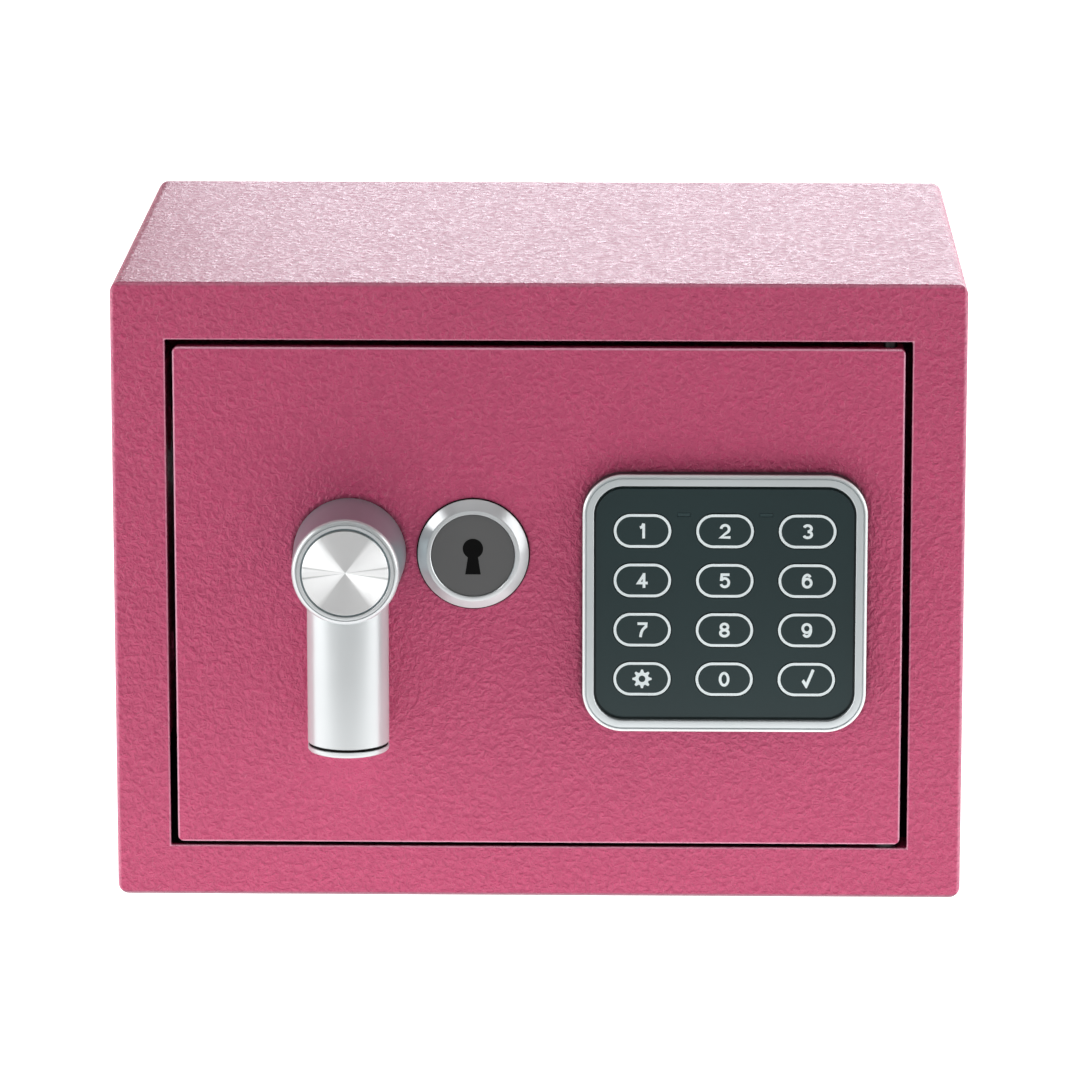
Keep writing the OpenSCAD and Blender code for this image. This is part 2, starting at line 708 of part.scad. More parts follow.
cabinet_wrap();
front_frame();
back_panel();
strike_plate();
hinge_bracket_upper();
hinge_bracket_lower();
hinge_pins();
hinge_washer();
floor_mat();
door_plate();
hinge_lugs();
bolt_guides();
inner_cover();
cover_screws();
handle_bush();
override_barrel();
override_nut();
override_ring();
keypad_bezel();
keypad_panel();
keypad_board();
key_mat();
keypad_nuts();
indicator_lights();
control_board();
wiring_loom();
solenoid_frame();
solenoid_coil();
battery_box();
battery_contacts();
battery_cells();
handle_hub();
handle_face_disc();
handle_bar();
handle_end_cap();
handle_spindle();
handle_cam();
bolt_carriage();
locking_bolt_upper();
locking_bolt_lower();
bolt_screws();
solenoid_plunger();
plunger_spring();
override_cap();
override_plug();
override_cam();
key_1();
key_2();
key_3();
key_4();
key_5();
key_6();
key_7();
key_8();
key_9();
key_settings();
key_0();
key_confirm();
reset_button();
battery_cover();
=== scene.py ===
"""A compact pink electronic safe: the looks of every piece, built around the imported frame."""

import json
import math

import bmesh
import bpy
from mathutils import Euler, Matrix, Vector


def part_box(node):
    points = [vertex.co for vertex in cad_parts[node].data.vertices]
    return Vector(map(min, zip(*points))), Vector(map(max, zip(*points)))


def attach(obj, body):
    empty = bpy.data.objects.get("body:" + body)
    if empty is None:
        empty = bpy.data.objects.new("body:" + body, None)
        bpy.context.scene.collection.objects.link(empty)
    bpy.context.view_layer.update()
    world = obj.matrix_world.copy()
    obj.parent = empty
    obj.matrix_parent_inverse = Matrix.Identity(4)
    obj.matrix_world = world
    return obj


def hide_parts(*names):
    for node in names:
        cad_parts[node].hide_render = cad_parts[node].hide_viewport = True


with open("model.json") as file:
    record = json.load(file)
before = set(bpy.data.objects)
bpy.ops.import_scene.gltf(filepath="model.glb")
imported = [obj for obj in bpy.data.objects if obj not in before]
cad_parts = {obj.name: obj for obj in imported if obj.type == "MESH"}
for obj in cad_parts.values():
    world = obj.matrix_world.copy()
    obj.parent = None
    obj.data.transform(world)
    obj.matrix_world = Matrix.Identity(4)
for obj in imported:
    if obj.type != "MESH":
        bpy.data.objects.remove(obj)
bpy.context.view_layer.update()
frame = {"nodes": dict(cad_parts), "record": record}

MM = 0.001
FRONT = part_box("front_frame")[0].y / MM  # the cabinet's front plane, in millimetres


# ---- Places read from the frame, in millimetres, depth counted from the front plane ----


def extent(node):
    """Lowest corner, highest corner and middle of a CAD node, depth counted from the front plane."""
    lo, hi = (Vector(c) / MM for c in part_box(node))
    lo.y -= FRONT
    hi.y -= FRONT
    return lo, hi, (lo + hi) / 2


# ---- Meshes ----


def add_piece(name, verts, faces, material, sharp=35.0, weighted=True):
    """An object from points in millimetres, depth counted from the front plane."""
    mesh = bpy.data.meshes.new(name)
    mesh.from_pydata([(x * MM, (y + FRONT) * MM, z * MM) for x, y, z in verts], [], faces)
    work = bmesh.new()
    work.from_mesh(mesh)
    bmesh.ops.remove_doubles(work, verts=work.verts, dist=1e-7)
    bmesh.ops.recalc_face_normals(work, faces=work.faces)
    work.to_mesh(mesh)
    work.free()
    mesh.materials.append(material)
    piece = bpy.data.objects.new(name, mesh)
    bpy.context.scene.collection.objects.link(piece)
    smooth(piece, sharp, weighted)
    return piece


def smooth(piece, sharp=35.0, weighted=True):
    """Smooth shading with sharp edges kept, and flat faces that stay flat."""
    mesh = piece.data
    mesh.polygons.foreach_set("use_smooth", [True] * len(mesh.polygons))
    mesh.set_sharp_from_angle(angle=math.radians(sharp))
    if weighted:
        modifier = piece.modifiers.new("flat_faces", "WEIGHTED_NORMAL")
        modifier.keep_sharp = True
        modifier.weight = 100


def settle(piece, body, slot, *nodes):
    """Sets what a finished piece rides on and hides the CAD nodes that it stands for. The slot is not used."""
    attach(piece, body)
    if nodes:
        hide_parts(*nodes)
    return piece


def loft(rings, closed=False):
    """Points and faces of a skin over rings of equal length. An open skin gets a cap at each end."""
    n = len(rings[0])
    verts = [p for ring in rings for p in ring]
    faces = []
    for i in range(len(rings) if closed else len(rings) - 1):
        a, b = i * n, (i + 1) % len(rings) * n
        for k in range(n):
            j = (k + 1) % n
            faces.append((a + k, a + j, b + j, b + k))
    if not closed:
        faces.append(tuple(range(n)))
        faces.append(tuple(reversed(range(len(verts) - n, len(verts)))))
    return verts, faces


def arc(cx, cy, r, start, end, steps):
    """Points on an arc, angles in degrees."""
    angles = [math.radians(start + (end - start) * i / steps) for i in range(steps + 1)]
    return [(cx + r * math.cos(a), cy + r * math.sin(a)) for a in angles]


def rect_ring(w, h, r, y, cx, cz, steps=10):
    """A rounded rectangle standing at one depth."""
    r = max(min(r, w / 2, h / 2), 0.02)
    points = []
    for sx, sz, start in ((1, 1, 0), (-1, 1, 90), (-1, -1, 180), (1, -1, 270)):
        corner = (cx + sx * (w / 2 - r), cz + sz * (h / 2 - r))
        points += arc(*corner, r, start, start + 90, steps)
    return [(x, y, z) for x, z in points]


def rect_rings(profile, w, h, r, cx, cz, steps=10):
    """Rings along a cross-section whose points are (inset from the outline, depth)."""
    return [rect_ring(w - 2 * i, h - 2 * i, r - i, y, cx, cz, steps) for i, y in profile]


def turned(profile, origin, axis, steps=96):
    """Rings of a turned part whose profile points are (radius, place along the axis)."""
    ox, oy, oz = origin
    rings = []
    for r, t in profile:
        ring = []
        for k in range(steps):
            a = 2 * math.pi * k / steps
            u, v = max(r, 0.01) * math.cos(a), max(r, 0.01) * math.sin(a)
            place = {"x": (t, u, v), "y": (u, t, v), "z": (u, v, t)}[axis]
            ring.append((ox + place[0], oy + place[1], oz + place[2]))
        rings.append(ring)
    return rings


def joined(*parts):
    """Several (points, faces) pairs as one."""
    verts, faces = [], []
    for v, f in parts:
        faces += [tuple(i + len(verts) for i in face) for face in f]
        verts += v
    return verts, faces


def lathe(name, profile, origin, axis, steps, material, sharp=35.0, closed=False, weighted=True):
    """A piece turned from a profile, closed where the profile is a closed cross-section."""
    return add_piece(name, *loft(turned(profile, origin, axis, steps), closed), material, sharp, weighted)


def bore(piece, cutters):
    """Cuts closed (points, faces) shapes out of a piece, once, in its mesh."""
    cutter = add_piece("cutter", *joined(*cutters), None, weighted=False)
    modifier = piece.modifiers.new("bores", "BOOLEAN")
    modifier.operation = "DIFFERENCE"
    modifier.solver = "EXACT"
    modifier.object = cutter
    while piece.modifiers[0] != modifier:
        piece.modifiers.move(len(piece.modifiers) - 1, 0)
    bpy.context.view_layer.update()
    kept = [m.type for m in piece.modifiers if m != modifier]
    for m in piece.modifiers:
        m.show_viewport = m == modifier
    graph = bpy.context.evaluated_depsgraph_get()
    mesh = bpy.data.meshes.new_from_object(piece.evaluated_get(graph))
    piece.modifiers.clear()
    piece.data = mesh
    bpy.data.objects.remove(cutter)
    smooth(piece, weighted="WEIGHTED_NORMAL" in kept)


def rod(axis, x, y, z, r, start, end, steps=64):
    """A plain round cutter or bar."""
    origin = {"x": (0, y, z), "y": (x, 0, z), "z": (x, y, 0)}[axis]
    return loft(turned([(r, start), (r, end)], origin, axis, steps))


# ---- Materials ----


def nodes_of(name):
    """A new node material, its tree and its main shader."""
    material = bpy.data.materials.new(name)
    material.use_nodes = True
    tree = material.node_tree
    return material, tree, tree.nodes["Principled BSDF"]


def scaled(colour, factor):
    return tuple(c * factor for c in colour)


def set_inputs(shader, values):
    """Sets constants on a node's sockets by name."""
    for key, value in values.items():
        socket = shader.inputs[key]
        if socket.type == "RGBA" and len(value) == 3:
            value = (*value, 1.0)
        socket.default_value = value


def places(tree, stretch=(1, 1, 1)):
    """Object coordinates, stretched along the axes."""
    coordinates = tree.nodes.new("ShaderNodeTexCoord")
    mapping = tree.nodes.new("ShaderNodeMapping")
    mapping.inputs["Scale"].default_value = stretch
    tree.links.new(coordinates.outputs["Object"], mapping.inputs["Vector"])
    return mapping.outputs["Vector"]


def noise(tree, scale, detail=2.0, roughness=0.5, distortion=0.0, stretch=(1, 1, 1)):
    """Noise in object space, mostly between 0.3 and 0.7."""
    node = tree.nodes.new("ShaderNodeTexNoise")
    set_inputs(node, {"Scale": scale, "Detail": detail, "Roughness": roughness, "Distortion": distortion})
    tree.links.new(places(tree, stretch), node.inputs["Vector"])
    return node.outputs["Fac"]


def remap(tree, value, low, high, to_low, to_high):
    """Carries the range low to high over to another range, clamped."""
    node = tree.nodes.new("ShaderNodeMapRange")
    for i, number in enumerate((low, high, to_low, to_high)):
        node.inputs[i + 1].default_value = number
    tree.links.new(value, node.inputs[0])
    return node.outputs[0]


def mixed(tree, factor, a, b):
    """A colour between a and b, which are colours or outputs."""
    node = tree.nodes.new("ShaderNodeMix")
    node.data_type = "RGBA"
    tree.links.new(factor, node.inputs["Factor"])
    for socket, value in ((node.inputs[6], a), (node.inputs[7], b)):
        if isinstance(value, tuple):
            socket.default_value = (*value, 1.0)
        else:
            tree.links.new(value, socket)
    return node.outputs[2]


def bump(tree, height, strength, distance, after=None):
    """A normal from a height, on top of an earlier bump."""
    node = tree.nodes.new("ShaderNodeBump")
    set_inputs(node, {"Strength": strength, "Distance": distance})
    tree.links.new(height, node.inputs["Height"])
    if after is not None:
        tree.links.new(after, node.inputs["Normal"])
    return node.outputs["Normal"]


def math_node(tree, operation, value, other=None):
    """One step of arithmetic: other is a number, an output, or nothing."""
    node = tree.nodes.new("ShaderNodeMath")
    node.operation = operation
    tree.links.new(value, node.inputs[0])
    if isinstance(other, (int, float)):
        node.inputs[1].default_value = other
    elif other is not None:
        tree.links.new(other, node.inputs[1])
    return node.outputs[0]


def split_places(tree):
    """Object coordinates as separate X, Y and Z outputs."""
    split = tree.nodes.new("ShaderNodeSeparateXYZ")
    tree.links.new(places(tree), split.inputs[0])
    return split.outputs


def painted_contact_shade(tree, reach, open_colour, painted_shade_colour):
    """Painted contact shade: a colour that turns into another where a neighbouring piece stands close, as shade
    would fall there.
    """
    node = tree.nodes.new("ShaderNodeAmbientOcclusion")
    node.samples = 8
    node.inputs["Distance"].default_value = reach
    return mixed(tree, remap(tree, node.outputs["AO"], 0.45, 0.85, 0.0, 1.0), painted_shade_colour, open_colour)


def painted_edge_highlights(tree, highlight_outlines):
    """A mask of painted edge highlights: pale lines round rectangles (low x, low z, high x, high z) at the
    front plane.
    """
    axes = split_places(tree)
    mask = None
    for (low_x, low_z, high_x, high_z), width, strength in highlight_outlines:
        sides = []
        for axis, low, high in (("X", low_x, high_x), ("Z", low_z, high_z)):
            away = math_node(tree, "SUBTRACT", axes[axis], (low + high) / 2 * MM)
            away = math_node(tree, "ABSOLUTE", away)
            sides.append(math_node(tree, "SUBTRACT", away, (high - low) / 2 * MM))
        gap = math_node(tree, "ABSOLUTE", math_node(tree, "MAXIMUM", *sides))
        line = remap(tree, gap, width / 3 * MM, width * MM, strength, 0.0)
        mask = line if mask is None else math_node(tree, "MAXIMUM", mask, line)
    depth = remap(tree, axes["Y"], (FRONT + 0.4) * MM, (FRONT + 0.9) * MM, 1.0, 0.0)
    return math_node(tree, "MULTIPLY", mask, depth)


def powder_coat(name, dark, light, wrinkle, highlight_outlines=()):
    """Wrinkled powder coat: worm-like dimples painted in a deeper, duller colour as their shade, painted
    contact shade, and painted edge highlights where outlines are given.
    """
    material, tree, shader = nodes_of(name)
    worms = noise(tree, 650, 3.0, 0.55, 0.5)
    grain = noise(tree, 2600, 2.0, 0.6)
    cloud = noise(tree, 14, 3.0, 0.5)
    pits = remap(tree, worms, 0.3, 0.7, 0.0, 1.0)
    # The dimples take the darker colour: painted shade in the wrinkles.
    base = mixed(tree, pits, dark, light)
    shade = mixed(tree, remap(tree, cloud, 0.3, 0.7, 0.0, 0.08), base, scaled(dark, 0.8))
    # Painted shade: much darker where a neighbouring piece stands within 2.2 mm.
    shade = painted_contact_shade(tree, 0.0022, shade, scaled(dark, 0.25))
    # Pale lines along the front's edges: painted highlights.
    if highlight_outlines:
        shade = mixed(tree, painted_edge_highlights(tree, highlight_outlines), shade, COAT_HIGHLIGHT)
    tree.links.new(shade, shader.inputs["Base Color"])
    tree.links.new(remap(tree, worms, 0.38, 0.62, 0.52, 0.24), shader.inputs["Roughness"])
    coarse = bump(tree, pits, wrinkle, 0.0012)
    tree.links.new(bump(tree, grain, wrinkle, 0.0002, coarse), shader.inputs["Normal"])
    set_inputs(shader, {"IOR": 1.5, "Coat Weight": 0.25, "Coat Roughness": 0.25})
    return material


def clouded(tree, scale, colour, deepest):
    """A colour that changes faintly over the piece."""
    cloud = remap(tree, noise(tree, scale, 2.0), 0.3, 0.7, 0.0, 1.0)
    return mixed(tree, cloud, colour, scaled(colour, deepest))


def satin_metal(name, colour, rough, scale=1500, grain=0.12, stretch=(1, 1, 1), metallic=1.0, spread=0.05):
    """Plated or polished metal with a fine grain and slight clouding."""
    material, tree, shader = nodes_of(name)
    fine = noise(tree, scale, 3.0, 0.6, 0.0, stretch)
    tree.links.new(clouded(tree, 40, colour, 0.94), shader.inputs["Base Color"])
    tree.links.new(remap(tree, fine, 0.3, 0.7, rough - spread, rough + spread), shader.inputs["Roughness"])
    if grain:
        tree.links.new(bump(tree, fine, grain, 0.00003), shader.inputs["Normal"])
    set_inputs(shader, {"Metallic": metallic})
    return material


def spun_metal(name, colour, centre, pitch, slope):
    """Face-turned aluminium: fine circular grooves, and darker fans above and below with thin dark rays near
    the level, painted into the colour as its reflection.
    """
    material, tree, shader = nodes_of(name)
    set_inputs(shader, {"Metallic": 1.0, "Roughness": 0.3})
    axes = split_places(tree)
    across = math_node(tree, "SUBTRACT", axes["X"], centre[0])
    up = math_node(tree, "SUBTRACT", axes["Z"], centre[2])
    turn = math_node(tree, "ABSOLUTE", math_node(tree, "ARCTAN2", up, across))
    side = math_node(tree, "ABSOLUTE", math_node(tree, "SUBTRACT", turn, math.pi / 2))
    # Painted reflection: full colour in fans to the left and right, darker above and below, and thin dark rays
    # 7.5 degrees off the level.
    painted_fan_mask = remap(tree, side, math.radians(34), math.radians(42), 0.0, 1.0)
    painted_ray_offset = math_node(tree, "ABSOLUTE", math_node(tree, "SUBTRACT", side, math.radians(82.5)))
    painted_fans = mixed(tree, painted_fan_mask, scaled(colour, 0.70), colour)
    line = remap(tree, painted_ray_offset, math.radians(0.4), math.radians(2.2), 1.0, 0.0)
    tree.links.new(mixed(tree, line, painted_fans, scaled(colour, 0.62)), shader.inputs["Base Color"])
    out = places(tree)
    for operation, value in (("SUBTRACT", centre), ("MULTIPLY", (1, 0, 1)), ("LENGTH", None)):
        node = tree.nodes.new("ShaderNodeVectorMath")
        node.operation = operation
        tree.links.new(out, node.inputs[0])
        if value is not None:
            node.inputs[1].default_value = value
        out = node.outputs["Value" if operation == "LENGTH" else "Vector"]
    out = math_node(tree, "SINE", math_node(tree, "MULTIPLY", out, 2 * math.pi / (pitch * MM)))
    depth = slope * pitch * MM / (2 * math.pi)
    tree.links.new(bump(tree, out, 1.0, depth), shader.inputs["Normal"])
    return material


def moulded(name, colour, rough, grain=0.15, scale=1800, ior=1.5):
    """Moulded plastic with a fine grain and a faint colour change."""
    material, tree, shader = nodes_of(name)
    fine = noise(tree, scale, 3.0, 0.6)
    tree.links.new(clouded(tree, 30, colour, 0.88), shader.inputs["Base Color"])
    tree.links.new(remap(tree, fine, 0.3, 0.7, rough - 0.04, rough + 0.04), shader.inputs["Roughness"])
    tree.links.new(bump(tree, fine, grain, 0.00004), shader.inputs["Normal"])
    set_inputs(shader, {"IOR": ior})
    return material


def felt(name, dark, light):
    """Needled felt: matted fibres in two tones, very rough, with a soft sheen."""
    material, tree, shader = nodes_of(name)
    fibres = noise(tree, 900, 6.0, 0.75, 2.2)
    tufts = noise(tree, 160, 3.0, 0.6)
    both = mixed(tree, remap(tree, tufts, 0.3, 0.7, 0.25, 0.75), fibres, tufts)
    tree.links.new(mixed(tree, both, dark, light), shader.inputs["Base Color"])
    tree.links.new(bump(tree, fibres, 0.9, 0.0006), shader.inputs["Normal"])
    set_inputs(shader, {"Roughness": 0.97, "Sheen Weight": 0.35, "Sheen Roughness": 0.5})
    return material


def wound(name, dark, light, pitch):
    """A taped winding: fine turns across the coil."""
    material, tree, shader = nodes_of(name)
    wave = tree.nodes.new("ShaderNodeTexWave")
    wave.bands_direction = "Z"
    set_inputs(wave, {"Scale": 1.0 / (pitch * MM) / 20, "Distortion": 0.6})
    tree.links.new(places(tree), wave.inputs["Vector"])
    tree.links.new(mixed(tree, wave.outputs["Fac"], dark, light), shader.inputs["Base Color"])
    tree.links.new(bump(tree, wave.outputs["Fac"], 0.5, 0.0001), shader.inputs["Normal"])
    set_inputs(shader, {"Roughness": 0.35})
    return material


def outline_of(node, width, strength):
    """A CAD node's outline from the front, for the painted edge highlights."""
    lo, hi, _ = extent(node)
    return (lo.x, lo.z, hi.x, hi.z), width, strength


# The coat's lighter and darker tones; the darker one marks the dimples as painted shade.
COAT_LIGHT = (0.65, 0.070, 0.188)
COAT_DARK = (0.545, 0.051, 0.153)
# Colour of the painted highlights along the front's edges.
COAT_HIGHLIGHT = (0.95, 0.50, 0.64)
HUB = extent("handle_hub")
HUB_CENTRE = [c * MM for c in HUB[2]]
OPEN_X = -extent("strike_plate")[1].x  # half the width of the frame's opening
OPEN_Z = (extent("hinge_bracket_lower")[1].z, extent("hinge_bracket_upper")[0].z)
# Where the painted edge highlights run on the cabinet and the door: rectangle, width and strength.
CABINET_HIGHLIGHTS = [
    outline_of("front_frame", 1.1, 0.35),
    ((-OPEN_X, OPEN_Z[0], OPEN_X, OPEN_Z[1]), 0.45, 0.6),
]
DOOR_HIGHLIGHTS = [outline_of("door_plate", 0.6, 1.0)]
PLATED = {"scale": 300, "grain": 0, "metallic": 0.4, "spread": 0.02}
# A darker copy of the satin chrome for the hub's side: painted shade, for the shaded door that the side
# mirrors.
SHADED_HUB_SIDE = satin_metal("hub_side", (0.40, 0.49, 0.52), 0.36, **{**PLATED, "metallic": 0.65})
# A whiter, less metallic copy of the bezel metal for a strip on the bezel's outer edge: a painted highlight.
PAINTED_HIGHLIGHT_METAL = satin_metal("bezel_painted_highlight", (0.95, 0.97, 0.97), 0.2, **{**PLATED, "metallic": 0.3})
SLOTS = {
    "cabinet_paint": powder_coat("cabinet_paint", COAT_DARK, COAT_LIGHT, 0.55, CABINET_HIGHLIGHTS),
    "door_paint": powder_coat("door_paint", COAT_DARK, COAT_LIGHT, 0.5, DOOR_HIGHLIGHTS),
    "cover_paint": powder_coat("cover_paint", (0.035, 0.035, 0.038), (0.06, 0.06, 0.065), 0.4),
    "zinc_steel": satin_metal("zinc_steel", (0.62, 0.63, 0.60), 0.34, 900, 0.15),
    "bolt_steel": satin_metal("bolt_steel", (0.72, 0.72, 0.73), 0.22, 900, 0.1, (0.1, 1, 1)),
    "black_steel": satin_metal("black_steel", (0.06, 0.06, 0.06), 0.4),
    "brass": satin_metal("brass", (0.76, 0.57, 0.25), 0.22, 1200, 0.1),
    "mat_felt": felt("mat_felt", (0.016, 0.016, 0.018), (0.085, 0.085, 0.09)),
    "satin_chrome": satin_metal("satin_chrome", (0.73, 0.76, 0.77), 0.25, **PLATED),
    "spun_aluminium": spun_metal("spun_aluminium", (0.91, 0.92, 0.92), HUB_CENTRE, 0.25, 0.75),
    "bezel_silver": satin_metal("bezel_silver", (0.70, 0.75, 0.76), 0.25, **PLATED),
    "panel_gloss": moulded("panel_gloss", (0.008, 0.028, 0.030), 0.33, 0.12, 2400),
    "key_face": moulded("key_face", (0.008, 0.028, 0.030), 0.33, 0.12, 2400),
    "silicone": moulded("silicone", (0.35, 0.36, 0.36), 0.5),
    "circuit_board": moulded("circuit_board", (0.02, 0.14, 0.06), 0.3),
    "lamp_lens": moulded("lamp_lens", (0.014, 0.040, 0.043), 0.4),
    "cap_grey": moulded("cap_grey", (0.112, 0.113, 0.113), 0.42, 0.1, 2400),
    "wire_jacket": moulded("wire_jacket", (0.42, 0.02, 0.02), 0.4),
    "coil_tape": wound("coil_tape", (0.20, 0.07, 0.012), (0.36, 0.15, 0.03), 0.5),
    "black_plastic": moulded("black_plastic", (0.02, 0.02, 0.022), 0.45, 0.35, 900),
    "spring_steel": satin_metal("spring_steel", (0.68, 0.68, 0.66), 0.22),
    "cell_sleeve": moulded("cell_sleeve", (0.02, 0.022, 0.026), 0.25, 0.05),
    "red_plastic": moulded("red_plastic", (0.60, 0.02, 0.02), 0.2, 0.05),
    "legend_print": moulded("legend_print", (0.86, 0.95, 0.96), 0.6, 0.05),
    "inlay_black": moulded("inlay_black", (0.004, 0.004, 0.004), 0.5, 0.05, ior=1.15),
}


def dress_frame():
    """Gives every CAD piece the finish of its slot."""
    for part in frame["record"]["subparts"]:
        mesh = frame["nodes"][part["node"]].data
        mesh.materials.clear()
        mesh.materials.append(SLOTS[part["material_slot"]])


# ---- Cabinet ----

BEND_R = 3.0
ANCHOR_X = 60.0
ANCHOR_R = 5.0
MAT_HOLE_R = 8.0


def closed_section(name, profile, w, h, r, cx, cz, material, steps=10):
    """A frame-like part: a closed cross-section carried round a rounded rectangle."""
    return add_piece(name, *loft(rect_rings(profile, w, h, r, cx, cz, steps), True), material)


def make_wrap():
    """The sides, top and floor, folded from one sheet, with the two anchor holes in the floor."""
    lo, hi, mid = extent("cabinet_wrap")
    w, h = hi.x - lo.x, hi.z - lo.z
    sheet = extent("back_panel")[1].y - hi.y
    profile = [(0, lo.y), (0, hi.y), (sheet, hi.y), (sheet, lo.y)]
    piece = closed_section("wrap_shell", profile, w, h, BEND_R, mid.x, mid.z, SLOTS["cabinet_paint"], 14)
    bore(piece, [rod("z", s * ANCHOR_X, mid_depth(), 0, ANCHOR_R, -5, 10) for s in (-1, 1)])
    settle(piece, "cabinet", "cabinet_paint", "cabinet_wrap")


def mid_depth():
    """Depth of the cabinet's middle, where the anchor holes are."""
    return (extent("back_panel")[1].y + extent("front_frame")[0].y) / 2


def make_front_frame():
    """The front sheet, rounded outside and crisp round its opening."""
    lo, hi, mid = extent("front_frame")
    w, h = hi.x - lo.x, hi.z - lo.z
    soft, crisp = 1.3, 0.45
    outer = [(0, hi.y)] + [(soft - a, soft - b) for a, b in arc(0, 0, soft, 0, 90, 8)]
    rings = rect_rings(outer, w, h, BEND_R, mid.x, mid.z)
    low, high = OPEN_Z
    inner = [(-crisp + a, crisp - b) for a, b in arc(0, 0, crisp, 90, 0, 4)] + [(0, hi.y)]
    rings += rect_rings(inner, 2 * OPEN_X, high - low, 0.5, mid.x, (low + high) / 2)
    piece = add_piece("front_frame_sheet", *loft(rings, True), SLOTS["cabinet_paint"])
    settle(piece, "cabinet", "cabinet_paint", "front_frame")


def make_back():
    """The back sheet, with the two wall anchor holes."""
    lo, hi, mid = extent("back_panel")
    soft = 1.0
    edge = [(soft - a, hi.y - soft + b) for a, b in arc(0, 0, soft, 0, 90, 6)]
    rings = rect_rings([(0, lo.y)] + edge, hi.x - lo.x, hi.z - lo.z, BEND_R, mid.x, mid.z, 14)
    piece = add_piece("back_sheet", *loft(rings), SLOTS["cabinet_paint"])
    bore(piece, [rod("y", s * ANCHOR_X, 0, mid.z, ANCHOR_R, lo.y - 5, hi.y + 5) for s in (-1, 1)])
    settle(piece, "cabinet", "cabinet_paint", "back_panel")


def make_mat():
    """The felt mat, cut out over the anchor holes."""
    lo, hi, mid = extent("floor_mat")
    w, d, t, r = hi.x - lo.x, hi.y - lo.y, hi.z - lo.z, 6.0
    section = [(0.3, 0), (0, 0.4), (0, t - 0.5), (0.25, t - 0.12), (0.6, t)]
    rings = []
    for inset, height in section:
        flat = rect_ring(w - 2 * inset, d - 2 * inset, r - inset, 0, mid.x, mid.y)
        rings.append([(x, y, lo.z + height) for x, _, y in flat])
    piece = add_piece("felt_mat", *loft(rings), SLOTS["mat_felt"])
    bore(piece, [rod("z", s * ANCHOR_X, mid_depth(), 0, MAT_HOLE_R, lo.z - 2, hi.z + 2) for s in (-1, 1)])
    settle(piece, "cabinet", "mat_felt", "floor_mat")


# ---- Door ----

DOOR_THICK = 4.0
RING = extent("override_ring")
PAD = extent("keypad_bezel")
LOCK_Z = HUB[2].z
HANDLE_BORE_R = 7.0
RING_BORE_R = 9.5
CABLE_BORE_R = 5.0
PIN = extent("hinge_pins")[2]
PIN_R = 1.85
PIN_SEAT = 9.0
SCREW_INSET = 4.0


def make_door():
    """The door plate with its bores and the four posts that carry the inner cover."""
    lo, hi, mid = extent("door_plate")
    soft = 0.7
    profile = [(soft - a, soft - b) for a, b in arc(0, 0, soft, 90, 0, 6)]
    profile += [(0, DOOR_THICK - 0.3), (0.3, DOOR_THICK)]
    rings = rect_rings(profile, hi.x - lo.x, hi.z - lo.z, 1.6, mid.x, mid.z)
    piece = add_piece("door_skin", *loft(rings), SLOTS["door_paint"])
    through = (-5, 9)
    cutters = [
        rod("y", HUB[2].x, 0, LOCK_Z, HANDLE_BORE_R, *through),
        rod("y", RING[2].x, 0, LOCK_Z, RING_BORE_R, *through),
        rod("y", PAD[2].x, 0, PAD[2].z, CABLE_BORE_R, *through),
        rod("z", PIN.x, PIN.y, 0, PIN_R, lo.z - 1, lo.z + PIN_SEAT),
        rod("z", PIN.x, PIN.y, 0, PIN_R, hi.z - PIN_SEAT, hi.z + 1),
    ]
    bore(piece, cutters)
    tap = hi.y - 12  # bottom of the screw's hole
    post = [(3.2, DOOR_THICK - 0.02), (3.2, hi.y - 0.4), (2.8, hi.y), (1.5, hi.y), (1.5, tap), (0.01, tap)]
    for i, x in enumerate(sorted({round(s.x, 1) for s in screw_places()})):
        for j, z in enumerate(sorted({round(s.z, 1) for s in screw_places()})):
            made = lathe(f"door_post_{i}{j}", post, (x, 0, z), "y", 32, SLOTS["door_paint"])
            settle(made, "door", "door_paint")
    settle(piece, "door", "door_paint", "door_plate")


def screw_places():
    """Middles of the four cover screws, from the corners of their node."""
    lo, hi, _ = extent("cover_screws")
    columns = (lo.x + SCREW_INSET, hi.x - SCREW_INSET)
    return [Vector((x, hi.y, z)) for x in columns for z in (lo.z + SCREW_INSET, hi.z - SCREW_INSET)]


# ---- Handle ----

HUB_FRONT_R = 14.4
HUB_FOOT_R = HUB[2].x - HUB[0].x - 0.05
HUB_BROW = HUB[0].y + 1.3  # where the tapered side meets the rim
NECK_H = 0.75  # the dark band between the bar and its end


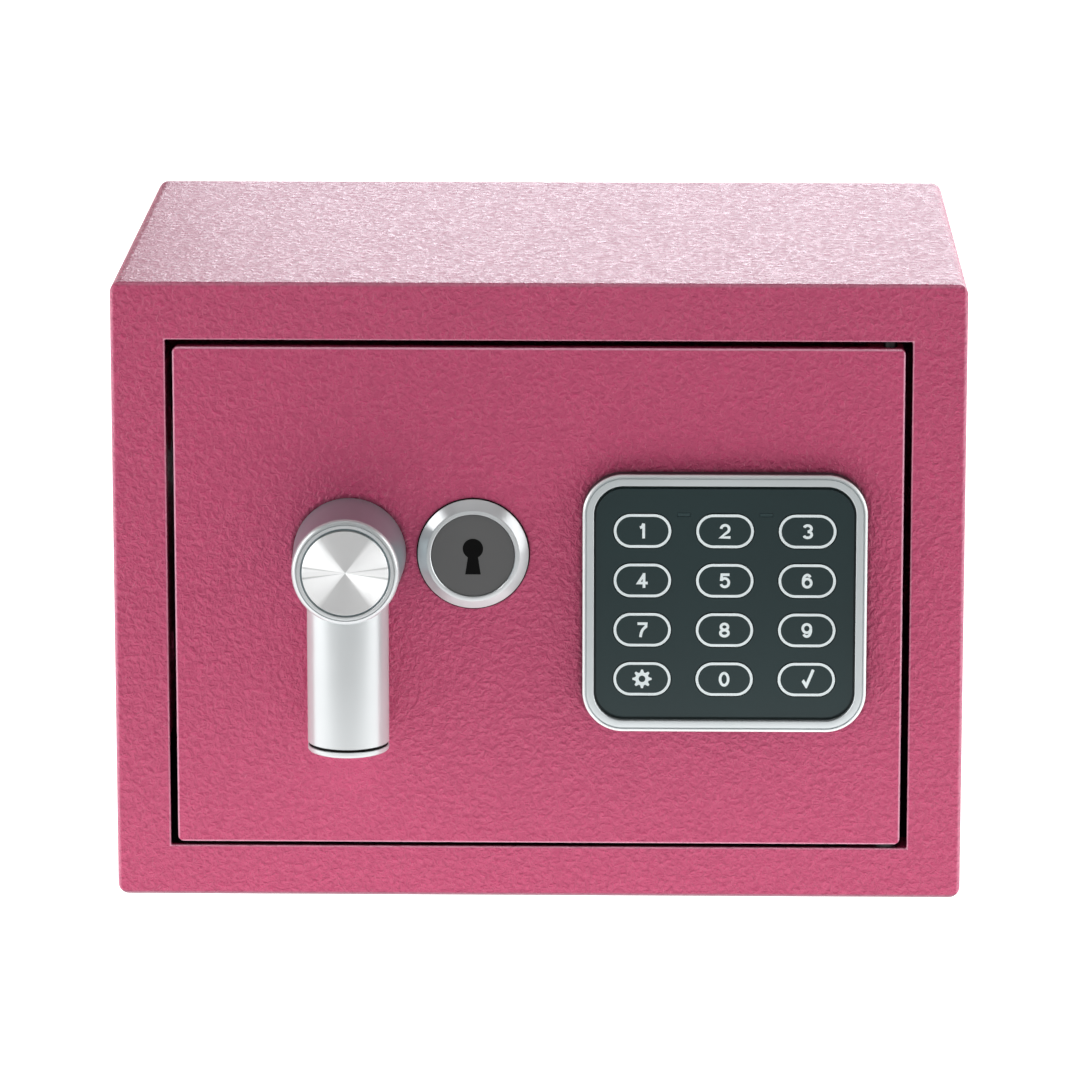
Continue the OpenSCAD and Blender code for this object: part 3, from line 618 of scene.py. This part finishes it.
def make_hub():
    """The hub's side, its rounded rim with a groove, and the face-turned disc in it."""
    lo, hi, mid = HUB
    r, base_r, front, foot, brow = HUB_FRONT_R, HUB_FOOT_R, lo.y, hi.y, HUB_BROW
    disc_lo, disc_hi, _ = extent("handle_face_disc")
    disc_r = (disc_hi.x - disc_lo.x) / 2
    pocket = front + 1.35
    axis = (mid.x, 0, mid.z)
    profile = [(5.0, foot), (base_r - 0.3, foot), (base_r, foot - 0.3)]
    profile += [(r, brow), (disc_r, brow), (5.0, brow)]
    # The side takes the darker copy of the chrome: painted shade.
    sleeve = lathe("handle_hub_sleeve", profile, axis, "y", 144, SHADED_HUB_SIDE, 28, closed=True)
    settle(sleeve, "handle", "satin_chrome")
    rim, turn = 1.7, math.radians(70)
    profile = [(disc_r, brow + 0.02), (r, brow + 0.02)]
    profile += [(r - rim + a, front + 0.1 + rim * math.sin(turn) - b) for a, b in arc(0, 0, rim, 18, 70, 8)]
    profile += [
        (r - 1.17, front + 0.55),
        (r - 1.40, front + 0.55),
        (r - 1.46, front + 0.03),
        (r - 1.54, front),
        (disc_r + 0.62, front + 0.04),
        (disc_r + 0.52, front + 0.12),
        (disc_r + 0.47, pocket),
        (0.01, pocket),
        (0.01, pocket + 0.1),
    ]
    hub = lathe("handle_hub_body", profile, axis, "y", 144, SLOTS["satin_chrome"], 28)
    settle(hub, "handle", "satin_chrome", "handle_hub")

    face = disc_lo.y
    profile = [(disc_r - 0.1, pocket), (disc_r, pocket - 0.3), (disc_r, face + 0.25)]
    profile += [(disc_r - 0.18, face + 0.02), (disc_r - 0.5, face), (0.6, face + 0.1), (0.01, face + 0.16)]
    disc = lathe("spun_face", profile, axis, "y", 192, SLOTS["spun_aluminium"], 30, weighted=False)
    settle(disc, "handle", "spun_aluminium", "handle_face_disc")


def make_lever():
    """The bar, whose top follows the hub's side, its end, and the dark band between them."""
    _, hub_hi, hub = HUB
    bar_lo, bar_hi, bar = extent("handle_bar")
    bar_r = (bar_hi.x - bar_lo.x) / 2
    axis = (bar.x, bar.y, 0)
    steps = 96
    profile = [(bar_r - 1.2, bar_lo.z), (bar_r - 0.2, bar_lo.z), (bar_r, bar_lo.z + 0.2)]
    rings = turned(profile, axis, "z", steps)
    low = rings[-1]
    taper = (HUB_FRONT_R - HUB_FOOT_R) / (HUB_BROW - hub_hi.y)
    for share in (0.25, 0.5, 0.75, 1.0):
        ring = []
        for x, y, z in low:
            side_r = HUB_FOOT_R + taper * (y - hub_hi.y) - 0.3
            top = hub.z - math.sqrt(side_r ** 2 - (x - hub.x) ** 2)
            ring.append((x, y, z + share * (top - z)))
        rings.append(ring)
    grip = add_piece("lever_grip", *loft(rings), SLOTS["satin_chrome"], 40)
    settle(grip, "handle", "satin_chrome", "handle_bar")

    cap_lo, _, _ = extent("handle_end_cap")
    soft, edge = 0.9, bar_lo.z - NECK_H
    profile = [(bar_r - 1.2, edge), (bar_r - 0.15, edge), (bar_r, edge - 0.15)]
    profile += [(bar_r - soft + a, cap_lo.z + soft - b) for a, b in arc(0, 0, soft, 0, 90, 8)]
    profile += [(0.01, cap_lo.z)]
    tip = lathe("lever_tip", profile, axis, "z", steps, SLOTS["satin_chrome"], 40)
    settle(tip, "handle", "satin_chrome", "handle_end_cap")
    neck_r = bar_r - 0.35
    profile = [(neck_r, bar_lo.z + 0.02), (neck_r, edge - 0.02)]
    neck = lathe("lever_neck", profile, axis, "z", steps, SLOTS["inlay_black"], 40)
    settle(neck, "handle", "inlay_black")


# ---- Override lock ----


def make_override():
    """The ring, a dark band round its foot that is a painted contact shadow, the pull-off cap and the keyhole
    sign on it.
    """
    lo, _, mid = RING
    r, front = mid.x - lo.x, lo.y
    cap_lo, cap_hi, _ = extent("override_cap")
    cap_r = mid.x - cap_lo.x
    axis = (mid.x, 0, mid.z)
    lip = cap_r + 0.1
    profile = [(r - 0.3, 0), (r - 0.3, -0.3), (r, -0.35), (r, -0.8), (r - 0.12, -0.98)]
    profile += [(lip + 1.28, front + 0.32), (lip + 1.16, front + 0.3)]
    profile += [(lip + 1.1, front + 0.05), (lip + 0.95, front), (lip + 0.22, front), (lip, front + 0.2)]
    profile += [(lip, -1), (14.0, -1), (14.0, 0)]
    ring = lathe("lock_ring", profile, axis, "y", 144, SLOTS["satin_chrome"], 25, closed=True)
    settle(ring, "door", "satin_chrome", "override_ring")

    # A thin black ring just wider than the lock ring, on the door: painted contact shadow.
    profile = [(14.0, -0.02), (r + 0.3, -0.02), (r + 0.3, -0.25), (14.0, -0.25)]
    ring_shadow = lathe("lock_ring_painted_shadow", profile, axis, "y", 144, SLOTS["inlay_black"], closed=True)
    settle(ring_shadow, "door", "inlay_black")

    face = cap_lo.y
    profile = [(0.01, face + 1.2), (cap_r - 1.2, face + 1.2), (cap_r - 1.2, cap_hi.y), (cap_r, cap_hi.y)]
    profile += [(cap_r, face + 0.25), (cap_r - 0.07, face + 0.07), (cap_r - 0.25, face), (0.01, face)]
    cap = lathe("lock_cap", profile, axis, "y", 96, SLOTS["cap_grey"])
    settle(cap, "override_cap", "cap_grey", "override_cap")

    foot, down = 2.1, -5.2
    head = [(mid.x + x, mid.z + z) for x, z in arc(0, 1.9, 2.75, -60, 240, 40)]
    outline = head + [(mid.x - foot, mid.z + down), (mid.x + foot, mid.z + down)]
    rings = [[(x, y, z) for x, z in outline] for y in (face + 0.1, face - 0.04)]
    sign = add_piece("keyhole_sign", *loft(rings), SLOTS["inlay_black"])
    settle(sign, "override_cap", "inlay_black")


# ---- Keypad ----

KEYS = [
    ("key_1", "1"), ("key_2", "2"), ("key_3", "3"), ("key_4", "4"), ("key_5", "5"), ("key_6", "6"),
    ("key_7", "7"), ("key_8", "8"), ("key_9", "9"), ("key_settings", None), ("key_0", "0"),
    ("key_confirm", None),
]
FLANGE = 0.8
FULL_R = 99.0  # rounds the ends of a key fully
PAD_R = 11.0
PANEL_R = 9.25
LAMP_W = 3.5
RING_INSET, RING_LINE = 0.12, 0.72
DIGIT_H = 4.1
DIGIT_W = 2.9
PEN = 0.74
PRINT_LIFT = 0.035


def make_bezel():
    """The keypad's silver rim, a whiter strip on its outer edge that is a painted highlight, and the dark foot
    under it.
    """
    lo, hi, mid = PAD
    shape = (hi.x - lo.x, hi.z - lo.z, PAD_R, mid.x, mid.z)
    front = lo.y
    wall = front + 1.4
    profile = [(0.25, wall), (0, wall - 0.1), (0, front + 0.45), (0.05, front + 0.38)]
    profile += [(0.55, front + 0.07), (0.68, front + 0.02), (0.76, front + 0.1), (0.80, front + 0.6)]
    profile += [(1.08, front + 0.6), (1.14, front + 0.1)]
    profile += [(1.4, front), (2.5, front), (2.85, front + 0.03), (2.98, front + 0.14), (3.02, front + 0.35)]
    profile += [(3.02, front + 2.2), (1.8, front + 2.2), (1.8, wall)]
    rim = closed_section("keypad_surround", profile, *shape, SLOTS["bezel_silver"], 20)
    settle(rim, "door", "bezel_silver", "keypad_bezel")
    profile = [(0.0, front + 0.52), (0.0, front + 0.42), (0.04, front + 0.36), (0.5, front + 0.075)]
    profile += [(0.55, front + 0.11), (0.12, front + 0.52)]
    # The whiter strip on the outer edge: a painted highlight.
    cut = closed_section("keypad_surround_edge", profile, *shape, PAINTED_HIGHLIGHT_METAL, 20)
    settle(cut, "door", "bezel_silver")
    profile = [(0.05, 0), (0.05, wall + 0.02), (1.75, wall + 0.02), (1.75, 0)]
    foot = closed_section("keypad_surround_foot", profile, *shape, SLOTS["black_plastic"], 20)
    settle(foot, "door", "black_plastic")


def make_panel():
    """The keypad's face, with an opening for each key and each lamp."""
    lo, hi, mid = extent("keypad_panel")
    w, h = hi.x - lo.x, hi.z - lo.z
    front, step, back = lo.y, lo.y + 1.4, -2.0
    edge = 1.75
    profile = [(edge + 0.1, front), (edge, front + 0.1), (edge, step), (0, step), (0, back)]
    rings = rect_rings(profile, w, h, PANEL_R, mid.x, mid.z, 16)
    piece = add_piece("keypad_face", *loft(rings), SLOTS["panel_gloss"])
    cutters = []
    for node, _ in KEYS:
        key_lo, key_hi, key = extent(node)
        kw, kh = key_hi.x - key_lo.x - 2 * FLANGE, key_hi.z - key_lo.z - 2 * FLANGE
        for more, depths in ((0.34, (front - 1, step + 0.02)), (2 * FLANGE + 0.6, (step - 0.02, back + 1))):
            cutters.append(loft([rect_ring(kw + more, kh + more, FULL_R, y, key.x, key.z, 12) for y in depths]))
    lamp_lo, lamp_hi, lamp = extent("indicator_lights")
    depths = (front - 1, back + 1)
    for x in (lamp_lo.x + LAMP_W / 2, lamp_hi.x - LAMP_W / 2):
        cutters.append(loft([rect_ring(LAMP_W + 0.1, 1.1, 0.2, y, x, lamp.z, 3) for y in depths]))
    for cutter in cutters:
        bore(piece, [cutter])
    settle(piece, "door", "panel_gloss", "keypad_panel")


def make_lamps():
    """The two lamp windows, almost flush with the keypad's face."""
    lo, hi, mid = extent("indicator_lights")
    face = extent("keypad_panel")[0].y + 0.02
    parts = []
    for x in (lo.x + LAMP_W / 2, hi.x - LAMP_W / 2):
        profile = [(0, hi.y), (0, face + 0.08), (0.08, face)]
        parts.append(loft(rect_rings(profile, LAMP_W, hi.z - lo.z, 0.2, x, mid.z, 3)))
    piece = add_piece("lamp_windows", *joined(*parts), SLOTS["lamp_lens"])
    settle(piece, "door", "lamp_lens", "indicator_lights")


def make_key(node, digit):
    """A key's cap, the printed ring round it and its figure."""
    lo, hi, mid = extent(node)
    w, h = hi.x - lo.x - 2 * FLANGE, hi.z - lo.z - 2 * FLANGE
    front, back = lo.y, hi.y
    shoulder = back - 0.6
    cap = [(0.2, front), (0.06, front + 0.06), (0, front + 0.2)]
    cap += [(0, shoulder), (-FLANGE, shoulder), (-FLANGE, back)]
    low, high = front + 0.02, front - 0.03
    inner = RING_INSET + RING_LINE
    line = [(RING_INSET, low), (RING_INSET, high), (inner, high), (inner, low)]
    cap, line = (
        [rect_ring(w - 2 * i, h - 2 * i, FULL_R, y, mid.x, mid.z, 14) for i, y in profile]
        for profile in (cap, line)
    )
    settle(add_piece(node + "_cap", *loft(cap), SLOTS["key_face"]), node, "key_face", node)
    settle(add_piece(node + "_outline", *loft(line, True), SLOTS["legend_print"]), node, "legend_print")
    if digit:
        print_digit(node, digit, mid, front)


def stroke(path, width):
    """A printed line: a flat outline on both sides of a path, square at its ends."""
    left, right = [], []
    for i, (x, z) in enumerate(path):
        before = path[max(i - 1, 0)]
        after = path[min(i + 1, len(path) - 1)]
        d_in = Vector((x - before[0], z - before[1]))
        d_out = Vector((after[0] - x, after[1] - z))
        way_in = (d_in if d_in.length else d_out).normalized()
        way_out = (d_out if d_out.length else d_in).normalized()
        along = (way_in + way_out).normalized()
        reach = width / 2 / max(along.dot(way_out), 0.5)
        left.append((x - along.y * reach, z + along.x * reach))
        right.append((x + along.y * reach, z - along.x * reach))
    return left, right


def oval(cx, cz, rx, rz, start, end, steps=20):
    """Points on an upright oval, angles in degrees."""
    return [(cx + rx * x, cz + rz * z) for x, z in arc(0, 0, 1, start, end, steps)]


def figures():
    """Centre lines of the ten figures, in a box that is DIGIT_W wide and DIGIT_H high."""
    w, h = (DIGIT_W - PEN) / 2, (DIGIT_H - PEN) / 2
    top, low = h * 0.5, -h * 0.5
    bowl = h / 2
    return {
        "0": [oval(0, 0, w, h, 90, 450, 40)],
        "1": [[(-w * 0.62, h * 0.52), (-w * 0.1, h * 0.66), (w * 0.28, h + PEN / 2)],
              [(w * 0.28, h + PEN / 2), (w * 0.28, -h - PEN / 2)]],
        "2": [oval(0, h - w, w, w, 175, -35, 18) + [(-w, -h), (w + PEN / 2, -h)]],
        "3": [oval(0, top, w * 0.92, bowl, 160, -90, 20), oval(0, low, w, bowl, 90, -160, 20)],
        "4": [[(w * 0.42, -h - PEN / 2), (w * 0.42, h + PEN / 2)],
              [(w * 0.42, h), (-w, -h * 0.42), (w + PEN / 2, -h * 0.42)]],
        "5": [[(w + PEN / 4, h), (-w * 0.72, h), (-w * 0.9, -h * 0.02)],
              oval(0, -h + w * 1.08, w, w * 1.08, 150, -160, 24)],
        "6": [oval(0, -h + w * 1.06, w, w * 1.06, 0, 360, 36),
              oval(0, 0, w, h, 40, 180, 16) + [(-w, -h * 0.3)]],
        "7": [[(-w - PEN / 4, h), (w, h)] + oval(w * 1.9, -h - PEN / 2, w * 2.3, h * 1.9, 115, 180, 10)],
        "8": [oval(0, top + 0.04, w * 0.86, bowl - 0.02, 0, 360, 32), oval(0, low, w, bowl, 0, 360, 32)],
        "9": [oval(0, h - w * 1.06, w, w * 1.06, 0, 360, 36),
              oval(0, 0, w, h, 220, 360, 16) + [(w, h * 0.3)]],
    }


def print_digit(node, digit, mid, front):
    """One figure on a key, each of its strokes a hair higher than the one before."""
    parts = []
    for path in figures()[digit]:
        path = [p for i, p in enumerate(path) if i == 0 or (Vector(p) - Vector(path[i - 1])).length > 1e-4]
        left, right = stroke(path, PEN)
        verts, faces = [], []
        lift = PRINT_LIFT + 0.012 * len(parts)
        for y in (front + 0.02, front - lift):
            verts += [(mid.x + x, y, mid.z + z) for x, z in left + right]
        n, m = len(path), 2 * len(path)
        for i in range(n - 1):
            faces += [(i, i + 1, n + i + 1, n + i), (m + i, m + n + i, m + n + i + 1, m + i + 1)]
            faces += [(i, m + i, m + i + 1, i + 1), (n + i, n + i + 1, m + n + i + 1, m + n + i)]
        faces += [(0, n, m + n, m), (n - 1, m + n - 1, m + m - 1, m - 1)]
        parts.append((verts, faces))
    piece = add_piece(node + "_figure", *joined(*parts), SLOTS["legend_print"], weighted=False)
    settle(piece, node, "legend_print")


def make_signs():
    """The gear on the settings key and the tick on the confirm key."""
    lo, _, mid = extent("key_settings")
    low, high = lo.y + 0.03, lo.y - PRINT_LIFT
    teeth, r_in, r_out, r_hole = 8, 1.85, 2.6, 0.9
    gear = []
    for i in range(teeth):
        a = 360 / teeth * i
        gear += arc(0, 0, r_in, a - 22.5, a - 16, 2)
        gear += arc(0, 0, r_out, a - 6, a + 6, 2)
        gear += arc(0, 0, r_in, a + 16, a + 22, 2)
    hole = [(r_hole * x / math.hypot(x, z), r_hole * z / math.hypot(x, z)) for x, z in gear]
    layers = ((gear, low), (gear, high), (hole, high), (hole, low))
    rings = [[(mid.x + x, y, mid.z + z) for x, z in outline] for outline, y in layers]
    piece = add_piece("settings_sign", *loft(rings, True), SLOTS["legend_print"])
    settle(piece, "key_settings", "legend_print")

    lo, _, mid = extent("key_confirm")
    low, high = lo.y + 0.03, lo.y - PRINT_LIFT
    tick = [(-1.25, -0.55), (-0.7, 0.1), (-0.05, -0.85), (1.45, 2.85), (1.85, 2.85), (2.2, 2.5)]
    tick += [(0.3, -2.15), (0.1, -2.45), (-0.15, -2.4)]
    rings = [[(mid.x + x, y, mid.z + z) for x, z in tick] for y in (low, high)]
    piece = add_piece("confirm_sign", *loft(rings), SLOTS["legend_print"])
    settle(piece, "key_confirm", "legend_print")


# ---- Inside the door ----

BOLTS = ("locking_bolt_upper", "locking_bolt_lower")
BOLT_BORE_R = 6.5
BUTTON_BORE_R = 3.8
SCREW_BORE_R = 1.7


def make_inner_cover():
    """The sheet-metal pan over the lock work: a folded skin, an opening for the battery lid, and bores."""
    lo, hi, mid = extent("inner_cover")
    w, h, sheet, soft = hi.x - lo.x, hi.z - lo.z, 1.2, 2.0
    outer = [(0, lo.y)] + [(soft - a, hi.y - soft + b) for a, b in arc(0, 0, soft, 0, 90, 6)]
    inner = [(sheet + soft - a, hi.y - sheet - soft + b) for a, b in arc(0, 0, soft, 90, 0, 6)]
    inner += [(sheet, lo.y)]
    rings = rect_rings(outer, w, h, 3, mid.x, mid.z) + rect_rings(inner, w, h, 3, mid.x, mid.z)
    n = len(rings[0])
    verts, faces = loft(rings, True)
    end, start = len(outer) - 1, len(outer)  # the outside's last ring and the inside's first one
    faces = [f for f in faces if not (f[0] // n == end and f[2] // n == start)]
    faces.append(tuple(range(end * n, start * n)))
    faces.append(tuple(reversed(range(start * n, start * n + n))))
    piece = add_piece("inner_pan", verts, faces, SLOTS["cover_paint"])
    lid_lo, lid_hi, lid = extent("battery_cover")
    gap = 0.2
    lid_w, lid_h = lid_hi.x - lid_lo.x + 2 * gap, lid_hi.z - lid_lo.z + 2 * gap
    bore(piece, [loft([rect_ring(lid_w, lid_h, 1.2, y, lid.x, lid.z) for y in (hi.y - 3, hi.y + 3)])])
    for node in BOLTS:
        bolt = extent(node)[2]
        bore(piece, [rod("x", 0, bolt.y, bolt.z, BOLT_BORE_R, lo.x - 3, lo.x + 5)])
    button = extent("reset_button")[2]
    bore(piece, [rod("y", button.x, 0, button.z, BUTTON_BORE_R, hi.y - 4, hi.y + 3)])
    for s in screw_places():
        bore(piece, [rod("y", s.x, 0, s.z, SCREW_BORE_R, hi.y - 4, hi.y + 3, 32)])
    settle(piece, "door", "cover_paint", "inner_cover")


def make_battery_cover():
    """The snap-on lid, with four grip ribs above its middle."""
    lo, hi, mid = extent("battery_cover")
    w, h = hi.x - lo.x, hi.z - lo.z
    face = hi.y - 0.8
    soft = 0.5
    edge = [(soft - a, face - soft + b) for a, b in arc(0, 0, soft, 0, 90, 4)]
    parts = [loft(rect_rings([(0.2, lo.y), (0, lo.y + 0.2)] + edge, w, h, 1.2, mid.x, mid.z))]
    ribs, first, pitch = 4, 20.6, 2.4
    for i in range(ribs):
        profile = [(0, face - 0.05), (0.05, face + 0.35), (0.35, hi.y)]
        parts.append(loft(rect_rings(profile, 16, 1.2, 0.6, mid.x, mid.z + first + pitch * i, 6)))
    piece = add_piece("battery_lid", *joined(*parts), SLOTS["black_plastic"])
    settle(piece, "battery_cover", "black_plastic", "battery_cover")


def make_cells():
    """Four cells that point left and right in turn, each a dark sleeve and a copper end."""
    lo, hi, mid = extent("battery_cells")
    r, pitch, count, band = 7.25, 15.0, 4, 36
    length = hi.x - lo.x
    copper = satin_metal("cell_copper", (0.72, 0.36, 0.16), 0.33)
    sleeve = [(0.01, 0), (6.6, 0), (7.1, 0.25), (r, 0.7), (r, band)]
    end = [(r - 0.01, band), (r - 0.01, 48.3), (6.7, 49), (2.9, 49.1), (2.6, 49.3), (2.6, 50.3)]
    end += [(2.3, length), (0.01, length)]
    for i in range(count):
        z = lo.z + r + pitch * i
        way = 1 if i % 2 == 0 else -1
        start = mid.x - way * length / 2
        skins = [[(a, start + way * b) for a, b in profile] for profile in (sleeve, end)]
        axis = (0, mid.y, z)
        piece = lathe(f"cell_sleeve_{i + 1}", skins[0], axis, "x", 64, SLOTS["cell_sleeve"])
        settle(piece, "door", "cell_sleeve", "battery_cells")
        piece = lathe(f"cell_end_{i + 1}", skins[1], axis, "x", 64, copper)
        settle(piece, "door", "cell_sleeve")


def make_bolts():
    """The two bolts, with a rounded nose and a socket in the tail."""
    soft = 1.6
    for node in BOLTS:
        lo, hi, mid = extent(node)
        r = (hi.z - lo.z) / 2
        profile = [(0.01, lo.x), (r - soft, lo.x)]
        profile += [(r - soft + a, lo.x + soft - b) for a, b in arc(0, 0, soft, 90, 0, 6)]
        profile += [(r, hi.x), (2.5, hi.x), (2.5, hi.x - 12), (0.01, hi.x - 12)]
        piece = lathe(node + "_pin", profile, (0, mid.y, mid.z), "x", 72, SLOTS["bolt_steel"])
        settle(piece, "bolt_work", "bolt_steel", node)


def make_reset():
    """The reset button: a head on a stem, dished at the end."""
    lo, hi, mid = extent("reset_button")
    r, stem_r, head = (hi.x - lo.x) / 2, 1.5, hi.y - 5.5
    profile = [(stem_r, lo.y), (stem_r, head), (r, head), (r, hi.y - 0.6), (r - 0.2, hi.y - 0.15)]
    profile += [(r - 0.7, hi.y), (0.01, hi.y - 0.15)]
    piece = lathe("reset_push", profile, (mid.x, 0, mid.z), "y", 48, SLOTS["red_plastic"])
    settle(piece, "reset_button", "red_plastic", "reset_button")


# ---- Studio ----

FLOOR_GLOW = 1.35


def make_camera():
    """A long lens that looks down 12.5 degrees, almost straight at the front."""
    data = bpy.data.cameras.new("camera")
    camera = bpy.data.objects.new("camera", data)
    bpy.context.scene.collection.objects.link(camera)
    data.sensor_width = 36.0
    data.lens = 206.97
    data.clip_end = 50
    camera.location = (0.0320, -1.7205, 0.4631)
    camera.rotation_euler = Euler((math.radians(90 - 12.523), 0, math.radians(1.1057)))
    bpy.context.scene.camera = camera


def make_world():
    """A studio that is lightest at the horizon and dark overhead."""
    world = bpy.data.worlds.new("studio")
    bpy.context.scene.world = world
    world.use_nodes = True
    tree = world.node_tree
    coordinates = tree.nodes.new("ShaderNodeTexCoord")
    split = tree.nodes.new("ShaderNodeSeparateXYZ")
    tree.links.new(coordinates.outputs["Generated"], split.inputs[0])
    background = tree.nodes["Background"]
    set_inputs(background, {"Color": (1, 1, 1)})
    tree.links.new(remap(tree, split.outputs["Z"], 0.0, 1.0, 0.56, 0.0), background.inputs["Strength"])


def softbox(name, place, target, size, radiance, tint=(1, 1, 1)):
    """A rectangular light whose surface shows this radiance in reflections."""
    data = bpy.data.lights.new(name, "AREA")
    data.shape = "RECTANGLE"
    data.size, data.size_y = size
    data.energy = radiance * math.pi * size[0] * size[1]
    data.color = tint
    light = bpy.data.objects.new(name, data)
    bpy.context.scene.collection.objects.link(light)
    light.location = place
    light.rotation_euler = (Vector(target) - Vector(place)).to_track_quat("-Z", "Y").to_euler()
    light.visible_camera = False


def ground(name, size, far, height):
    """A level glowing card as wide as size on both sides, from -size to far, in metres."""
    mesh = bpy.data.meshes.new(name)
    corners = [(-size, -size, 0), (size, -size, 0), (size, far, 0), (-size, far, 0)]
    mesh.from_pydata(corners, [], [(0, 1, 2, 3)])
    card = bpy.data.objects.new(name, mesh)
    bpy.context.scene.collection.objects.link(card)
    card.location.z = height
    material, tree, shader = nodes_of(name)
    set_inputs(shader, {
        "Base Color": (0.25, 0.25, 0.25), "Roughness": 0.9, "Specular IOR Level": 0.0,
        "Emission Color": (1, 1, 1), "Emission Strength": FLOOR_GLOW,
    })
    mesh.materials.append(material)
    return card, tree, shader


def make_floor():
    """A plain white floor."""
    floor, _, _ = ground("studio_floor", 12.0, 12.0, -0.0002)


def make_flag():
    """A grey card on the floor in front, out of the camera's sight, that the door mirrors faintly."""
    near, blend = -0.25, 0.08
    flag, tree, shader = ground("studio_flag", 6.0, near, 0.0005)
    flag.visible_camera = False
    glow = remap(tree, split_places(tree)["Y"], near - blend, near, 0.33, FLOOR_GLOW)
    tree.links.new(glow, shader.inputs["Emission Strength"])


def make_studio():
    make_camera()
    make_world()
    make_floor()
    make_flag()
    left, right = (-0.05, -0.1, 0.08), (0.05, -0.1, 0.08)
    softbox("side_left", (-0.85, -0.2, 0.34), left, (0.36, 0.88), 3.1)
    softbox("side_right", (0.85, -0.2, 0.34), right, (0.36, 0.88), 2.9)
    softbox("front_left", (-0.82, -0.46, 0.34), left, (0.15, 0.88), 2.6)
    softbox("front_right", (0.82, -0.46, 0.34), right, (0.15, 0.88), 1.6)
    softbox("back", (0.5, 1.5, 0.68), (0, 0, 0.15), (1.66, 1.0), 2.65, (0.97, 0.98, 1.05))
    softbox("overhead", (0, -0.33, 1.2), (0, -0.09, 0.1), (1.2, 0.12), 2.2)
    bpy.context.scene.view_settings.view_transform = "Standard"


dress_frame()
make_studio()
make_wrap()
make_front_frame()
make_back()
make_mat()
make_door()
make_hub()
make_lever()
make_override()
make_bezel()
make_panel()
make_lamps()
for key_node, key_digit in KEYS:
    make_key(key_node, key_digit)
make_signs()
make_inner_cover()
make_battery_cover()
make_cells()
make_bolts()
make_reset()
